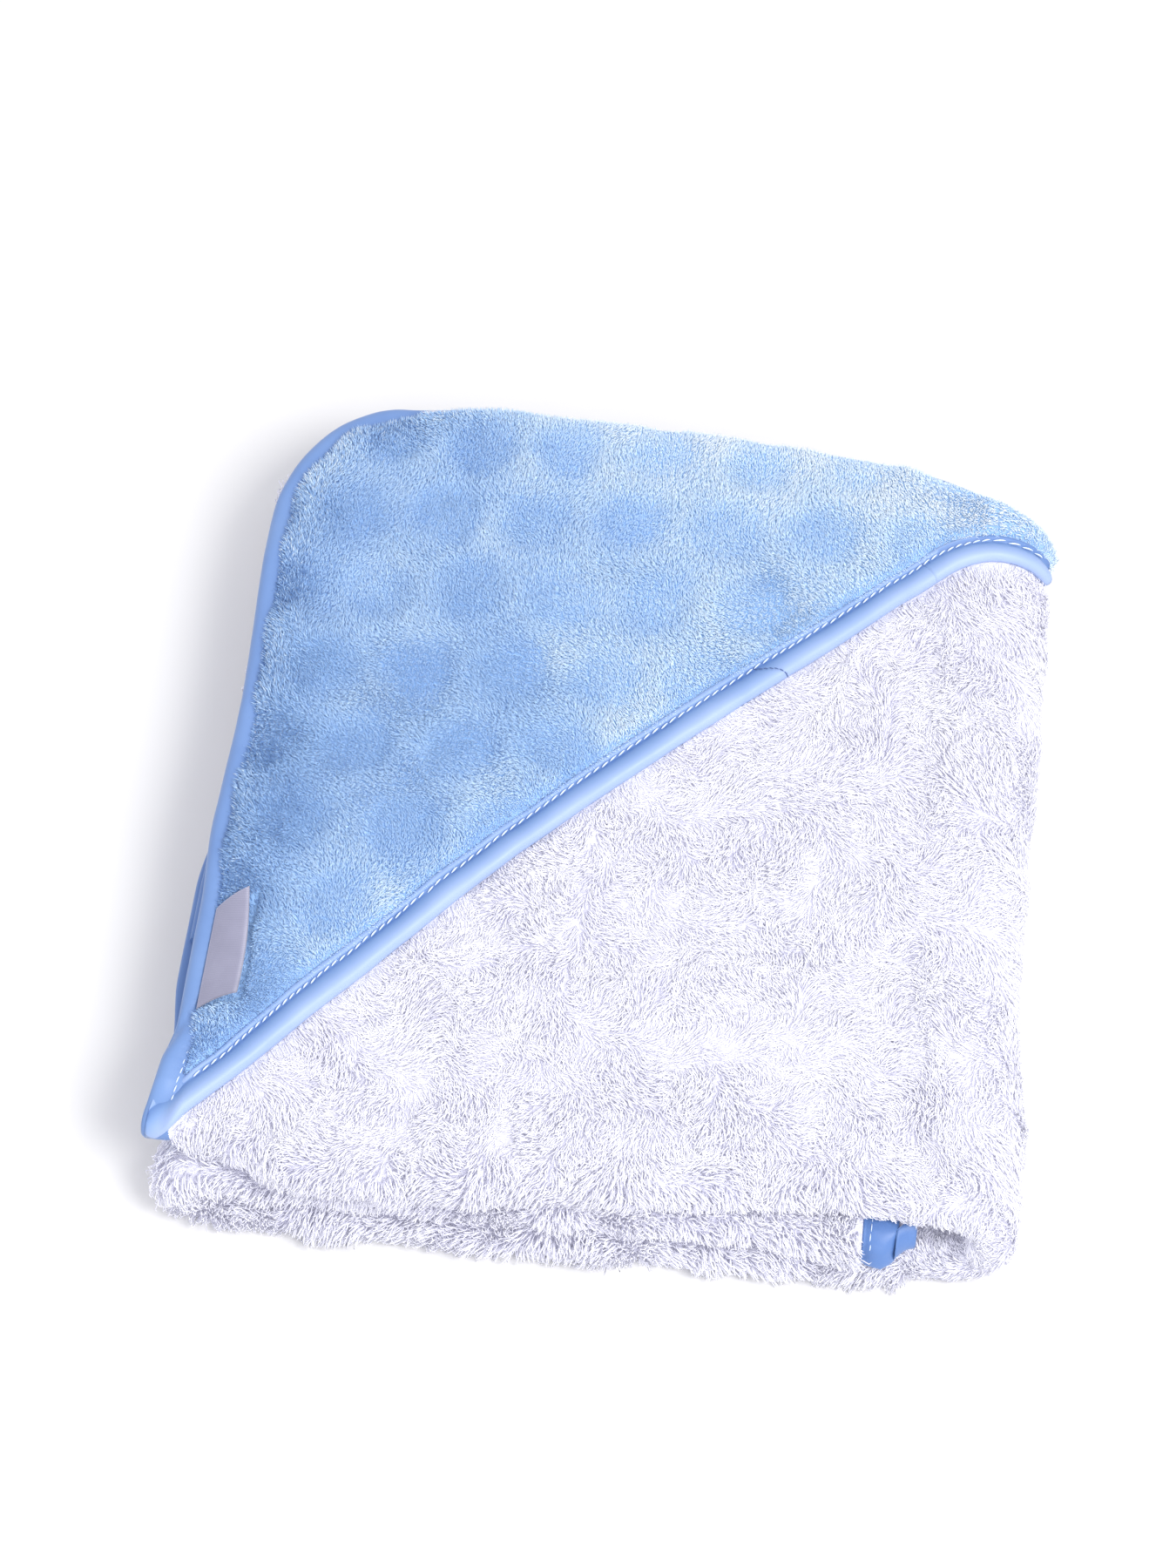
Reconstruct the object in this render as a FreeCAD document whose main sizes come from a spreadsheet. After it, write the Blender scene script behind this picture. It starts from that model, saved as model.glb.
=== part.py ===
import FreeCAD, Part
import Sketcher
import math
import os

# Hooded baby towel, folded in thirds both ways into a flat square stack.
# Units are millimetres, +Z is up, the origin is the middle of the resting
# footprint. The closed front roll of the stack faces -Y, the thick fold faces
# +X, and the hood's rounded corner is at -X +Y on top.
# Three sections lie on each other: bottom, tucked and top. Each is a cloth folded
# front to back into three sheets: outer, second and inside.

doc = FreeCAD.newDocument("hooded_baby_towel")

# ---------------------------------------------------------- driving dimensions
sheet = doc.addObject("Spreadsheet::Sheet", "Sheet")
DIMENSIONS = [
    # alias, value, meaning
    ("stack_width", 270.0, "outside width of the folded stack, left edge to right fold"),
    ("half_depth", 146.4, "half of the overall depth of the stack"),
    ("back_mid", 138.57, "Y of the back edge at the middle of the width"),
    ("back_drop", 0.09, "fall of the back edge per millimetre of width"),
    ("sheet_thick", 4.3, "thickness of one terry sheet with its pile pressed"),
    ("sheet_gap", 0.35, "air between two sheets of one section"),
    ("section_gap", 0.6, "air between two stacked sections"),
    ("binding_width", 13.0, "visible width of the satin edge binding"),
    ("binding_proud", 1.2, "how far the binding stands above the sheet it encloses"),
    ("fit_gap", 0.2, "clearance between two neighbouring soft solids"),
    ("corner_radius", 48.0, "radius of the rounded hood corner"),
    ("hinge_height", 23.6, "height of the right fold's bending line"),
    ("fold_radius", 23.5, "outer radius of the right fold"),
    ("fold_clear", 0.4, "running clearance around the right fold"),
    ("tucked_end", 99.0, "X of the tucked section's bound end"),
    ("left_inset", 7.0, "how far the left fold stays inside the left edge"),
    ("back_inset", 8.0, "how far the hidden back folds stay inside the back edge"),
    ("low_skew", 20.0, "extra inset of the hidden back folds at the left side"),
    ("outer_skew", 14.0, "extra inset of the lower sections' outer sheets at the left side"),
    ("inner_short", 68.0, "how far the inside sheet stops short of the front roll"),
    ("hood_thick", 4.0, "thickness of the plush hood panel with its pile"),
    ("margin_width", 28.0, "width of the hood panel's fixed margin along both sewn legs"),
    ("face_offset", 3.9, "distance of the hood mouth line below the diagonal, along Y"),
    ("face_width", 12.5, "width of the binding on the hood mouth"),
    ("face_thick", 4.4, "thickness of the rolled binding on the hood mouth"),
    ("face_gap", 0.6, "gap between the moving and the sewn-down parts of the hood"),
    ("hood_limit", 96.0, "X at which the hood reaches the right fold"),
    ("thread_width", 0.5, "width of a sewing thread line"),
    ("thread_thick", 0.4, "thickness of a sewing thread line"),
    ("label_length", 37.0, "length of the woven side label"),
    ("label_width", 9.3, "free width of the woven side label"),
    ("label_thick", 0.6, "thickness of the doubled woven label"),
    ("label_front", -89.4, "Y of the label's front end"),
    ("join_near", 49.5, "X of the outer end of the binding's join seam"),
    ("join_far", 38.0, "X of the inner end of the binding's join seam"),
]
for row, (alias, value, meaning) in enumerate(DIMENSIONS, start=1):
    sheet.set("A%d" % row, meaning)
    sheet.set("B%d" % row, repr(value))
    sheet.setAlias("B%d" % row, alias)
doc.recompute()


class Dim:
    """A dimension: its number now, and the sheet expression that drives it."""

    def __init__(self, value, text):
        self.value = float(value)
        self.text = text

    @staticmethod
    def of(other):
        return other if isinstance(other, Dim) else Dim(other, repr(float(other)))

    def __add__(self, other):
        other = Dim.of(other)
        return Dim(self.value + other.value, "(%s + %s)" % (self.text, other.text))

    def __sub__(self, other):
        other = Dim.of(other)
        return Dim(self.value - other.value, "(%s - %s)" % (self.text, other.text))

    def __mul__(self, other):
        other = Dim.of(other)
        return Dim(self.value * other.value, "(%s * %s)" % (self.text, other.text))

    __rmul__ = __mul__

    def __truediv__(self, other):
        other = Dim.of(other)
        return Dim(self.value / other.value, "(%s / %s)" % (self.text, other.text))

    def __neg__(self):
        return Dim(-self.value, "(-1 * %s)" % self.text)


def cell(alias):
    return Dim(sheet.get(alias), "Sheet." + alias)


def half_chord(radius, distance):
    """Half the chord of a circle at a distance from its centre."""
    square = radius * radius - distance * distance
    return Dim(math.sqrt(square.value), "sqrt(%s)" % square.text)


# ------------------------------------------------------------- shared geometry
SHEET = cell("sheet_thick")
SHEET_GAP = cell("sheet_gap")
BINDING = cell("binding_width")
FIT = cell("fit_gap")
LEFT = -0.5 * cell("stack_width")
FRONT = -cell("half_depth")

SECTION = 3 * SHEET + 2 * SHEET_GAP       # thickness of one three-sheet section
ROLL_Y = FRONT + 0.5 * SECTION            # centre line of the front roll
Z_BOTTOM = Dim(0, "0")
Z_TUCKED = SECTION + cell("section_gap")
Z_TOP = 2 * Z_TUCKED
Z_FACE = Z_TOP + SECTION                  # top face of the terry stack

FOLD_R = cell("fold_radius")
CLEAR_R = FOLD_R + cell("fold_clear")
HINGE_X = 0.5 * cell("stack_width") - FOLD_R
HINGE_Z = cell("hinge_height")

INSIDE_STOP = FRONT + cell("inner_short")  # front edge of the inside terry sheet
INSIDE_BOUND = INSIDE_STOP - BINDING       # front edge of its binding
TERRY_INSET = BINDING + FIT                # from a bound edge in to the cloth
TERRY_LEFT = LEFT + TERRY_INSET


def back(x):
    """Y of the slanting back edge at a given X."""
    return cell("back_mid") - cell("back_drop") * x


def skew(x, amount):
    """An inset that grows from nothing at the hinge line to amount at the left."""
    return amount * ((HINGE_X - x) / (HINGE_X - LEFT))


def hidden_inset(x):
    """Inset of the hidden turns at the back."""
    return cell("back_inset") + skew(x, cell("low_skew"))


def outer_inset(x):
    """Inset of the lower sections' outer sheets at the back."""
    return TERRY_INSET + skew(x, cell("outer_skew"))


# Rounded hood corner
CORNER_R = cell("corner_radius")
CORNER_X = LEFT + CORNER_R
CORNER_Y = back(CORNER_X) - CORNER_R
TERRY_CORNER_R = CORNER_R - BINDING - FIT
BINDING_CORNER_R = CORNER_R - BINDING

# -------------------------------------------------------------------- builders
pieces = {}                               # label: object to export


def new_body(label):
    body = doc.addObject("PartDesign::Body", label)
    body.Label = label
    return body


def new_sketch(body, role, offset, name):
    """An empty sketch on an origin plane, moved along its normal by offset."""
    sketch = body.newObject("Sketcher::SketchObject", name)
    plane = [o for o in body.Origin.OriginFeatures if o.Role == role][0]
    sketch.AttachmentSupport = [(plane, "")]
    sketch.MapMode = "FlatFace"
    if offset is not None:
        sketch.AttachmentOffset = FreeCAD.Placement(
            FreeCAD.Vector(0, 0, offset.value), FreeCAD.Rotation())
        sketch.setExpression("AttachmentOffset.Base.z", offset.text)
    return sketch


def drive(sketch, dim, kind, *where):
    """Add a dimensional constraint bound to the sheet."""
    index = sketch.addConstraint(Sketcher.Constraint(kind, *where, dim.value))
    sketch.setExpression("Constraints[%d]" % index, dim.text)


def arc_between(start, end, centre, ccw):
    radius = (start - centre).Length
    angle0 = math.atan2(start.y - centre.y, start.x - centre.x)
    angle1 = math.atan2(end.y - centre.y, end.x - centre.x)
    if not ccw:
        angle0, angle1 = angle1, angle0
    if angle1 <= angle0:
        angle1 += 2 * math.pi
    circle = Part.Circle(centre, FreeCAD.Vector(0, 0, 1), radius)
    return Part.ArcOfCircle(circle, angle0, angle1)


def outline(body, role, offset, points, name):
    """A closed sketch. points: list of (u, v) or (u, v, (cu, cv, ccw)), where the
    third entry makes the edge leaving that point an arc about (cu, cv)."""
    sketch = new_sketch(body, role, offset, name)
    following = points[1:] + points[:1]
    edges = []                            # geometry index, start and end vertex
    for point, after in zip(points, following):
        start = FreeCAD.Vector(point[0].value, point[1].value, 0)
        end = FreeCAD.Vector(after[0].value, after[1].value, 0)
        if len(point) == 2:
            index = sketch.addGeometry(Part.LineSegment(start, end), False)
            edges.append((index, 1, 2))
        else:
            cu, cv, ccw = point[2]
            centre = FreeCAD.Vector(cu.value, cv.value, 0)
            index = sketch.addGeometry(arc_between(start, end, centre, ccw), False)
            edges.append((index, 1, 2) if ccw else (index, 2, 1))
    for (index, _, end), (next_index, start, _) in zip(edges, edges[1:] + edges[:1]):
        sketch.addConstraint(Sketcher.Constraint("Coincident", index, end, next_index, start))
    for point, after, (index, start, _) in zip(points, following, edges):
        drive(sketch, point[0], "DistanceX", -1, 1, index, start)
        drive(sketch, point[1], "DistanceY", -1, 1, index, start)
        if len(point) == 3:
            cu, cv, _ = point[2]
            # an arc's centre needs one coordinate: the one its chord leaves free
            if abs(after[0].value - point[0].value) < abs(after[1].value - point[1].value):
                drive(sketch, cu, "DistanceX", -1, 1, index, 3)
            else:
                drive(sketch, cv, "DistanceY", -1, 1, index, 3)
    return sketch


def pad(body, sketch, length, name, reverse=False):
    feature = body.newObject("PartDesign::Pad", name)
    feature.Profile = sketch
    feature.Length = length.value
    feature.setExpression("Length", length.text)
    feature.Reversed = reverse
    body.Tip = feature


def pocket(body, sketch, length, name, symmetric=False):
    """Cut a computed body, and stop if the cut removes nothing."""
    least_cut = 100                       # cubic millimetres
    before = body.Shape.Volume
    feature = body.newObject("PartDesign::Pocket", name)
    feature.Profile = sketch
    if symmetric:
        feature.SideType = "Symmetric"
    feature.Length = length.value
    feature.setExpression("Length", length.text)
    body.Tip = feature
    doc.recompute()
    if not body.Shape.Volume < before - least_cut:
        raise RuntimeError(name + ": the pocket cut nothing")


def flat_body(label, points, z, height):
    """A plan outline padded upwards from a given height."""
    body = new_body(label)
    sketch = outline(body, "XY_Plane", z, points, label + "_plan")
    pad(body, sketch, height, label + "_pad")
    return body


def slab(label, points, z, height):
    pieces[label] = flat_body(label, points, z, height)


def compound(label, parts):
    """Several bodies exported as one piece."""
    group = doc.addObject("Part::Compound", label)
    group.Links = parts
    group.Label = label
    pieces[label] = group


def extrusion(label, points, y, length):
    """An XZ outline padded towards +Y from a given Y."""
    body = new_body(label)
    sketch = outline(body, "XZ_Plane", -y, points, label + "_section")
    pad(body, sketch, length, label + "_pad", reverse=True)
    pieces[label] = body


def loft(label, x0, x1, shape):
    """A ruled loft between the YZ outlines shape(x0) and shape(x1)."""
    body = new_body(label)
    left = outline(body, "YZ_Plane", x0, shape(x0), label + "_left")
    right = outline(body, "YZ_Plane", x1, shape(x1), label + "_right")
    doc.recompute()
    feature = body.newObject("PartDesign::AdditiveLoft", label + "_loft")
    feature.Profile = left
    feature.Sections = [right]
    feature.Ruled = True
    body.Tip = feature
    doc.recompute()
    pieces[label] = body
    return body


def strip(x0, x1, near, far):
    """Plan outline from x0 to x1 between two lines, each a function of X."""
    return [(x0, near(x0)), (x1, near(x1)), (x1, far(x1)), (x0, far(x0))]


def folded(x, z, outer_edge_inset, stop, outer_below=False):
    """Front-to-back outline of a section folded in thirds: an outer sheet, its
    turn at the front, a second sheet, its turn at the back and an inside sheet
    that ends at stop. outer_below puts the outer sheet underneath."""
    def up(height):
        return z + (SECTION - height) if outer_below else z + height

    roll = 0.5 * SECTION                  # outer radius of the turn at the front
    turn = SHEET + 0.5 * SHEET_GAP        # outer radius of the turn at the back
    outer_y = back(x) - outer_edge_inset
    turn_y = back(x) - hidden_inset(x) - turn
    ccw = not outer_below
    return [
        (outer_y, up(SECTION)),
        (ROLL_Y, up(SECTION), (ROLL_Y, up(roll), ccw)),
        (ROLL_Y, up(Dim(0, "0"))),
        (turn_y, up(Dim(0, "0")), (turn_y, up(turn), ccw)),
        (turn_y, up(2 * turn)),
        (stop, up(2 * turn)),
        (stop, up(SHEET + SHEET_GAP)),
        (turn_y, up(SHEET + SHEET_GAP), (turn_y, up(turn), not ccw)),
        (turn_y, up(SHEET)),
        (ROLL_Y, up(SHEET), (ROLL_Y, up(roll), not ccw)),
        (ROLL_Y, up(SECTION - SHEET)),
        (outer_y, up(SECTION - SHEET)),
    ]


def clear_bend(body):
    """Clear the end of a section around the right fold's bending line."""
    sketch = new_sketch(body, "XZ_Plane", None, body.Label + "_bend")
    circle = Part.Circle(FreeCAD.Vector(HINGE_X.value, HINGE_Z.value, 0),
                         FreeCAD.Vector(0, 0, 1), CLEAR_R.value)
    index = sketch.addGeometry(circle, False)
    drive(sketch, HINGE_X, "DistanceX", -1, 1, index, 3)
    drive(sketch, HINGE_Z, "DistanceY", -1, 1, index, 3)
    drive(sketch, CLEAR_R, "Radius", index)
    pocket(body, sketch, 4 * cell("half_depth"), body.Label + "_clear", symmetric=True)


# ---------------------------------------------------------------- terry cloth
LEFT_FOLD_R = 0.5 * (Z_TUCKED + SECTION)  # outer radius of the left fold
LEFT_FOLD_X = LEFT + cell("left_inset") + LEFT_FOLD_R
LOWER_LEFT = LEFT_FOLD_X + FIT            # left end of the two lower sections
TUCKED_X = cell("tucked_end") - BINDING   # inner edge of the tucked end's binding
TUCKED_RIGHT = TUCKED_X - FIT


def terry_top_section():
    """Outer sheet on top, carrying the hood."""
    label = "terry_top_section"
    body = loft(label, TERRY_LEFT, HINGE_X,
                lambda x: folded(x, Z_TOP, TERRY_INSET, INSIDE_STOP))
    clear_bend(body)
    # Only the outer sheet has the towel's own rounded corner.
    above = 1
    outside_x = LEFT - 2
    outside_y = cell("half_depth") + 6
    sketch = outline(body, "XY_Plane", Z_FACE + above,
                     [(CORNER_X, CORNER_Y + TERRY_CORNER_R, (CORNER_X, CORNER_Y, True)),
                      (CORNER_X - TERRY_CORNER_R, CORNER_Y),
                      (outside_x, CORNER_Y), (outside_x, outside_y), (CORNER_X, outside_y)],
                     label + "_corner")
    pocket(body, sketch, SHEET + above + 0.5 * SHEET_GAP, label + "_round")


def terry_bottom_section():
    """The same cloth upside down after the right fold."""
    label = "terry_bottom_section"
    press = 0.1                           # how far the cloth sinks below Z = 0
    body = loft(label, LOWER_LEFT, HINGE_X,
                lambda x: folded(x, Z_BOTTOM - press, outer_inset(x), INSIDE_STOP,
                                 outer_below=True))
    clear_bend(body)
    # The underside is pressed flat by its own weight: a true resting plane.
    flat_depth = Dim.of(5)
    wide = cell("stack_width")
    sketch = outline(body, "XY_Plane", None,
                     [(-wide, -wide), (wide, -wide), (wide, wide), (-wide, wide)],
                     label + "_rest")
    pocket(body, sketch, flat_depth, label + "_flat")


def terry_left_fold():
    """A half turn from the bottom section up to the tucked section."""
    x = LEFT_FOLD_X
    start_y = FRONT + 1
    extrusion("terry_left_fold",
              [(x, 2 * LEFT_FOLD_R, (x, LEFT_FOLD_R, True)), (x, Z_BOTTOM),
               (x, SECTION, (x, LEFT_FOLD_R, False)), (x, Z_TUCKED)],
              start_y, back(x) - hidden_inset(x) - start_y)


FACE_RISE = Z_FACE - HINGE_Z              # top face above the bending line
FACE_REACH = half_chord(FOLD_R, FACE_RISE)


def terry_right_fold():
    """Carries the cloth from the top section round to the bottom one."""
    inner_r = FOLD_R - SECTION - 0.1
    inner_reach = half_chord(FOLD_R, inner_r)
    extrusion("terry_right_fold",
              [(HINGE_X + FACE_REACH, Z_FACE),
               (HINGE_X - FACE_REACH, Z_FACE, (HINGE_X, HINGE_Z, True)),
               (HINGE_X - inner_reach, HINGE_Z + inner_r),
               (HINGE_X, HINGE_Z + inner_r, (HINGE_X, HINGE_Z, False)),
               (HINGE_X, HINGE_Z - inner_r),
               (HINGE_X - inner_reach, HINGE_Z - inner_r, (HINGE_X, HINGE_Z, True))],
              FRONT, back(HINGE_X) - TERRY_INSET - FRONT)


terry_top_section()
terry_bottom_section()
# Tucked section: the last third, between the other two.
loft("terry_tucked_section", LOWER_LEFT, TUCKED_RIGHT,
     lambda x: folded(x, Z_TUCKED, outer_inset(x), INSIDE_STOP))
terry_left_fold()
terry_right_fold()

# --------------------------------------------------------------- edge binding
BINDING_SINK = SHEET + 0.5 * SHEET_GAP - 0.05   # hood leg binding below the top face
BINDING_Z = Z_FACE - BINDING_SINK
# the tape stops where it still clears the right fold when the top is opened
LEG_END = HINGE_X - half_chord(CLEAR_R, BINDING_Z - HINGE_Z) - 0.2
LOWER_RIGHT = HINGE_X - CLEAR_R - 1       # right end of the hidden straight tapes


def leg_band(inner_r, outer_r, front_y, end_x):
    """Plan of a band along the left leg, the rounded corner and the back leg."""
    corner = (CORNER_X, CORNER_Y)
    edge = back(end_x) - CORNER_R
    return [(CORNER_X - outer_r, front_y), (CORNER_X - inner_r, front_y),
            (CORNER_X - inner_r, CORNER_Y, corner + (False,)),
            (CORNER_X, CORNER_Y + inner_r),
            (end_x, edge + inner_r), (end_x, edge + outer_r),
            (CORNER_X, CORNER_Y + outer_r, corner + (True,)),
            (CORNER_X - outer_r, CORNER_Y)]


def inside_tape(x_right):
    """Plan of the tape on the inside sheet of a lower section."""
    return strip(LOWER_LEFT, x_right, lambda x: INSIDE_BOUND, lambda x: INSIDE_STOP - FIT)


def back_tape(x_right):
    """Plan of the tape behind the outer sheet of a lower section."""
    return strip(LOWER_LEFT, x_right,
                 lambda x: back(x) - outer_inset(x) + FIT,
                 lambda x: back(x) - outer_inset(x) + BINDING)


# Tape round the hood's two sewn legs, with the rounded corner.
slab("edge_binding_hood_legs",
     leg_band(BINDING_CORNER_R, CORNER_R, ROLL_Y + FIT, LEG_END),
     BINDING_Z, cell("binding_proud") + BINDING_SINK)

# Left end of the top section below its outer sheet: the folded outline
# without the outer sheet's two end points.
loft("edge_binding_left_lower_sheets", LEFT, LEFT + BINDING,
     lambda x: folded(x, Z_TOP, TERRY_INSET, INSIDE_BOUND)[1:-1])
loft("edge_binding_tucked_end", TUCKED_X, cell("tucked_end"),
     lambda x: folded(x, Z_TUCKED, outer_inset(x) - BINDING, INSIDE_BOUND))

# Far edge of the towel, hidden inside each section near the front.
INSIDE_RISE = SHEET + SHEET_GAP
slab("edge_binding_inside_top",
     strip(TERRY_LEFT, LOWER_RIGHT, lambda x: INSIDE_BOUND, lambda x: INSIDE_STOP - FIT),
     Z_TOP + INSIDE_RISE, SHEET)
compound("edge_binding_inside_lower", [
    flat_body("edge_binding_inside_lower_a", inside_tape(LOWER_RIGHT),
              Z_BOTTOM + INSIDE_RISE, SHEET),
    flat_body("edge_binding_inside_lower_b", inside_tape(TUCKED_RIGHT),
              Z_TUCKED + INSIDE_RISE, SHEET)])

# Near edge of the towel, at the back of the two lower sections.
compound("edge_binding_back_lower", [
    flat_body("edge_binding_back_lower_a", back_tape(LOWER_RIGHT), Z_BOTTOM, SHEET),
    flat_body("edge_binding_back_lower_b", back_tape(TUCKED_RIGHT),
              Z_TUCKED + SECTION - SHEET, SHEET)])


def edge_binding_right_fold():
    """Tape round the back end of the right fold, one sheet thick."""
    ring_r = FOLD_R - SHEET
    ring_reach = half_chord(ring_r, FACE_RISE)
    extrusion("edge_binding_right_fold",
              [(HINGE_X + FACE_REACH, Z_FACE, (HINGE_X, HINGE_Z, False)),
               (HINGE_X, HINGE_Z - FOLD_R),
               (HINGE_X, HINGE_Z - ring_r, (HINGE_X, HINGE_Z, True)),
               (HINGE_X + ring_reach, Z_FACE)],
              back(HINGE_X) - TERRY_INSET + FIT, BINDING - 0.5)


edge_binding_right_fold()

# ----------------------------------------------------------------------- hood
ALONG_Y = math.sqrt(2.0)                  # Y extent of a unit width across the mouth line
Z_HOOD = Z_FACE + FIT
HOOD_THICK = cell("hood_thick")
MARGIN = cell("margin_width")
FACE_OFFSET = cell("face_offset")
FACE_GAP = cell("face_gap")
FACE_THICK = cell("face_thick")
FACE_Y = cell("face_width") * ALONG_Y     # the mouth band measured along Y
PLUSH_START = FACE_Y + FACE_GAP           # plush starts this far above the mouth line
HOOD_END = cell("hood_limit")


def mouth(x, extra=0):
    """Y of a line parallel to the hood mouth at a given X."""
    return x - FACE_OFFSET + extra


def plush_edge(x):
    return mouth(x, PLUSH_START)


def margin_edge(x):
    """Inner edge of the fixed margin along the back leg."""
    return back(x) - MARGIN


def plush_meets(inset):
    """X where the plush edge meets a line inset from the back edge."""
    return ((cell("back_mid") - inset - PLUSH_START + FACE_OFFSET)
            / (cell("back_drop") + 1))


MARGIN_X = LEFT + MARGIN                  # inner edge of the fixed margin, left
MOVING_LEFT = MARGIN_X + FACE_GAP         # ends of the part that lifts
MOVING_RIGHT = plush_meets(MARGIN + FACE_GAP) - 1
meet_x = plush_meets(MARGIN)

# Fixed margin of the plush, along both sewn legs.
slab("hood_panel_sewn_margin",
     [(TERRY_LEFT, plush_edge(TERRY_LEFT)), (MARGIN_X, plush_edge(MARGIN_X)),
      (MARGIN_X, margin_edge(MARGIN_X)),
      (meet_x, margin_edge(meet_x)), (HOOD_END, plush_edge(HOOD_END)),
      (HOOD_END, back(HOOD_END) - TERRY_INSET),
      (CORNER_X, CORNER_Y + TERRY_CORNER_R, (CORNER_X, CORNER_Y, True)),
      (TERRY_LEFT, CORNER_Y)],
     Z_HOOD, HOOD_THICK)
# Middle of the plush, which lifts with the mouth of the hood.
slab("hood_panel_mouth",
     strip(MOVING_LEFT, MOVING_RIGHT, plush_edge, lambda x: margin_edge(x) - FACE_GAP),
     Z_HOOD, HOOD_THICK)


def face_strip(x0, x1):
    """Plan of a length of the binding on the hood mouth."""
    return strip(x0, x1, mouth, lambda x: mouth(x, FACE_Y))


slab("hood_face_binding", face_strip(MOVING_LEFT, MOVING_RIGHT), Z_HOOD, FACE_THICK)
compound("hood_face_binding_sewn_ends", [
    flat_body("hood_face_binding_left_end",
              face_strip(TERRY_LEFT, MOVING_LEFT - FACE_GAP), Z_HOOD, FACE_THICK),
    flat_body("hood_face_binding_right_end",
              face_strip(MOVING_RIGHT + FACE_GAP, HOOD_END), Z_HOOD, FACE_THICK)])

# --------------------------------------------------------------------- threads
THREAD = cell("thread_width")
THREAD_THICK = cell("thread_thick")
THREAD_LIFT = 0.05                        # air under a thread
STITCH_INSET = 1.4                        # from a binding's inner edge to its thread
Z_FACE_THREAD = Z_HOOD + FACE_THICK + THREAD_LIFT

# Thread near the inner edge of the mouth binding.
face_stitch = FACE_Y - 2.2
slab("hood_face_topstitch",
     strip(MOVING_LEFT, MOVING_RIGHT,
           lambda x: mouth(x, face_stitch),
           lambda x: mouth(x, face_stitch + THREAD * ALONG_Y)),
     Z_FACE_THREAD, THREAD_THICK)

# Seam across the mouth binding; the numbers set its ends in from the edges.
join_near = cell("join_near")
join_far = cell("join_far")
slab("binding_join_seam",
     [(join_near, mouth(join_near, 0.6)), (join_near + THREAD, mouth(join_near, 0.9)),
      (join_far + THREAD, mouth(join_far, FACE_Y - 3.4)),
      (join_far, mouth(join_far, FACE_Y - 3.8))],
     Z_FACE_THREAD, THREAD_THICK)

# Thread along the inner edge of the binding on the hood's legs.
leg_stitch_r = BINDING_CORNER_R + STITCH_INSET
slab("edge_topstitch_hood_legs",
     leg_band(leg_stitch_r, leg_stitch_r + THREAD, ROLL_Y + 1, LEG_END - 1),
     Z_FACE + cell("binding_proud") + THREAD_LIFT, THREAD_THICK)

# Thread on the tucked section's bound end, from the front roll backwards.
tucked_stitch_x = TUCKED_X + STITCH_INSET
tucked_stitch_length = 120
tucked_stitch_lift = 0.02
slab("edge_topstitch_tucked_end",
     strip(tucked_stitch_x, tucked_stitch_x + THREAD,
           lambda x: ROLL_Y, lambda x: ROLL_Y + tucked_stitch_length),
     Z_TUCKED + SECTION + tucked_stitch_lift, THREAD_THICK * 0.5)

# ----------------------------------------------------------------------- label
label_left = TERRY_LEFT + 0.6
label_right = label_left + cell("label_width")
label_front = cell("label_front")
label_slant = 3.5                         # right side lies this much further back
label_lift = 0.3                          # air between label and plush
slab("side_label",
     [(label_left, label_front), (label_right, label_front + label_slant),
      (label_right, label_front + label_slant + cell("label_length")),
      (label_left, label_front + cell("label_length"))],
     Z_HOOD + HOOD_THICK + label_lift, cell("label_thick"))

doc.recompute()

# ----------------------------------------------------------- checks and export
faults = []
for obj in doc.Objects:
    if "Invalid" in obj.State or "Error" in obj.State:
        faults.append("%s: %s" % (obj.Name, obj.State))
for label, piece in pieces.items():
    if piece.Shape.isNull() or not piece.Shape.isValid() or not piece.Shape.Solids:
        faults.append("%s: null, invalid or without a solid" % label)
    if piece.Label != label:
        faults.append("%s: label is %s" % (label, piece.Label))
if faults:
    raise RuntimeError("; ".join(faults))

os.makedirs("parts", exist_ok=True)
for label, piece in pieces.items():
    piece.Shape.exportStep("parts/%s.step" % label)
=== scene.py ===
"""A folded hooded towel lying flat on the ground.

The towel lies in XY with its folded front roll towards -Y, its open bound edge
and left fold at -X, its right fold at +X, and Z up. Its three sections (top,
bottom, tucked) are stacked; a plush hood with a satin-bound mouth covers the
back left part of the top section. Geometry is worked out in millimetres and
stored in metres.
"""
import functools
import math

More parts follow.
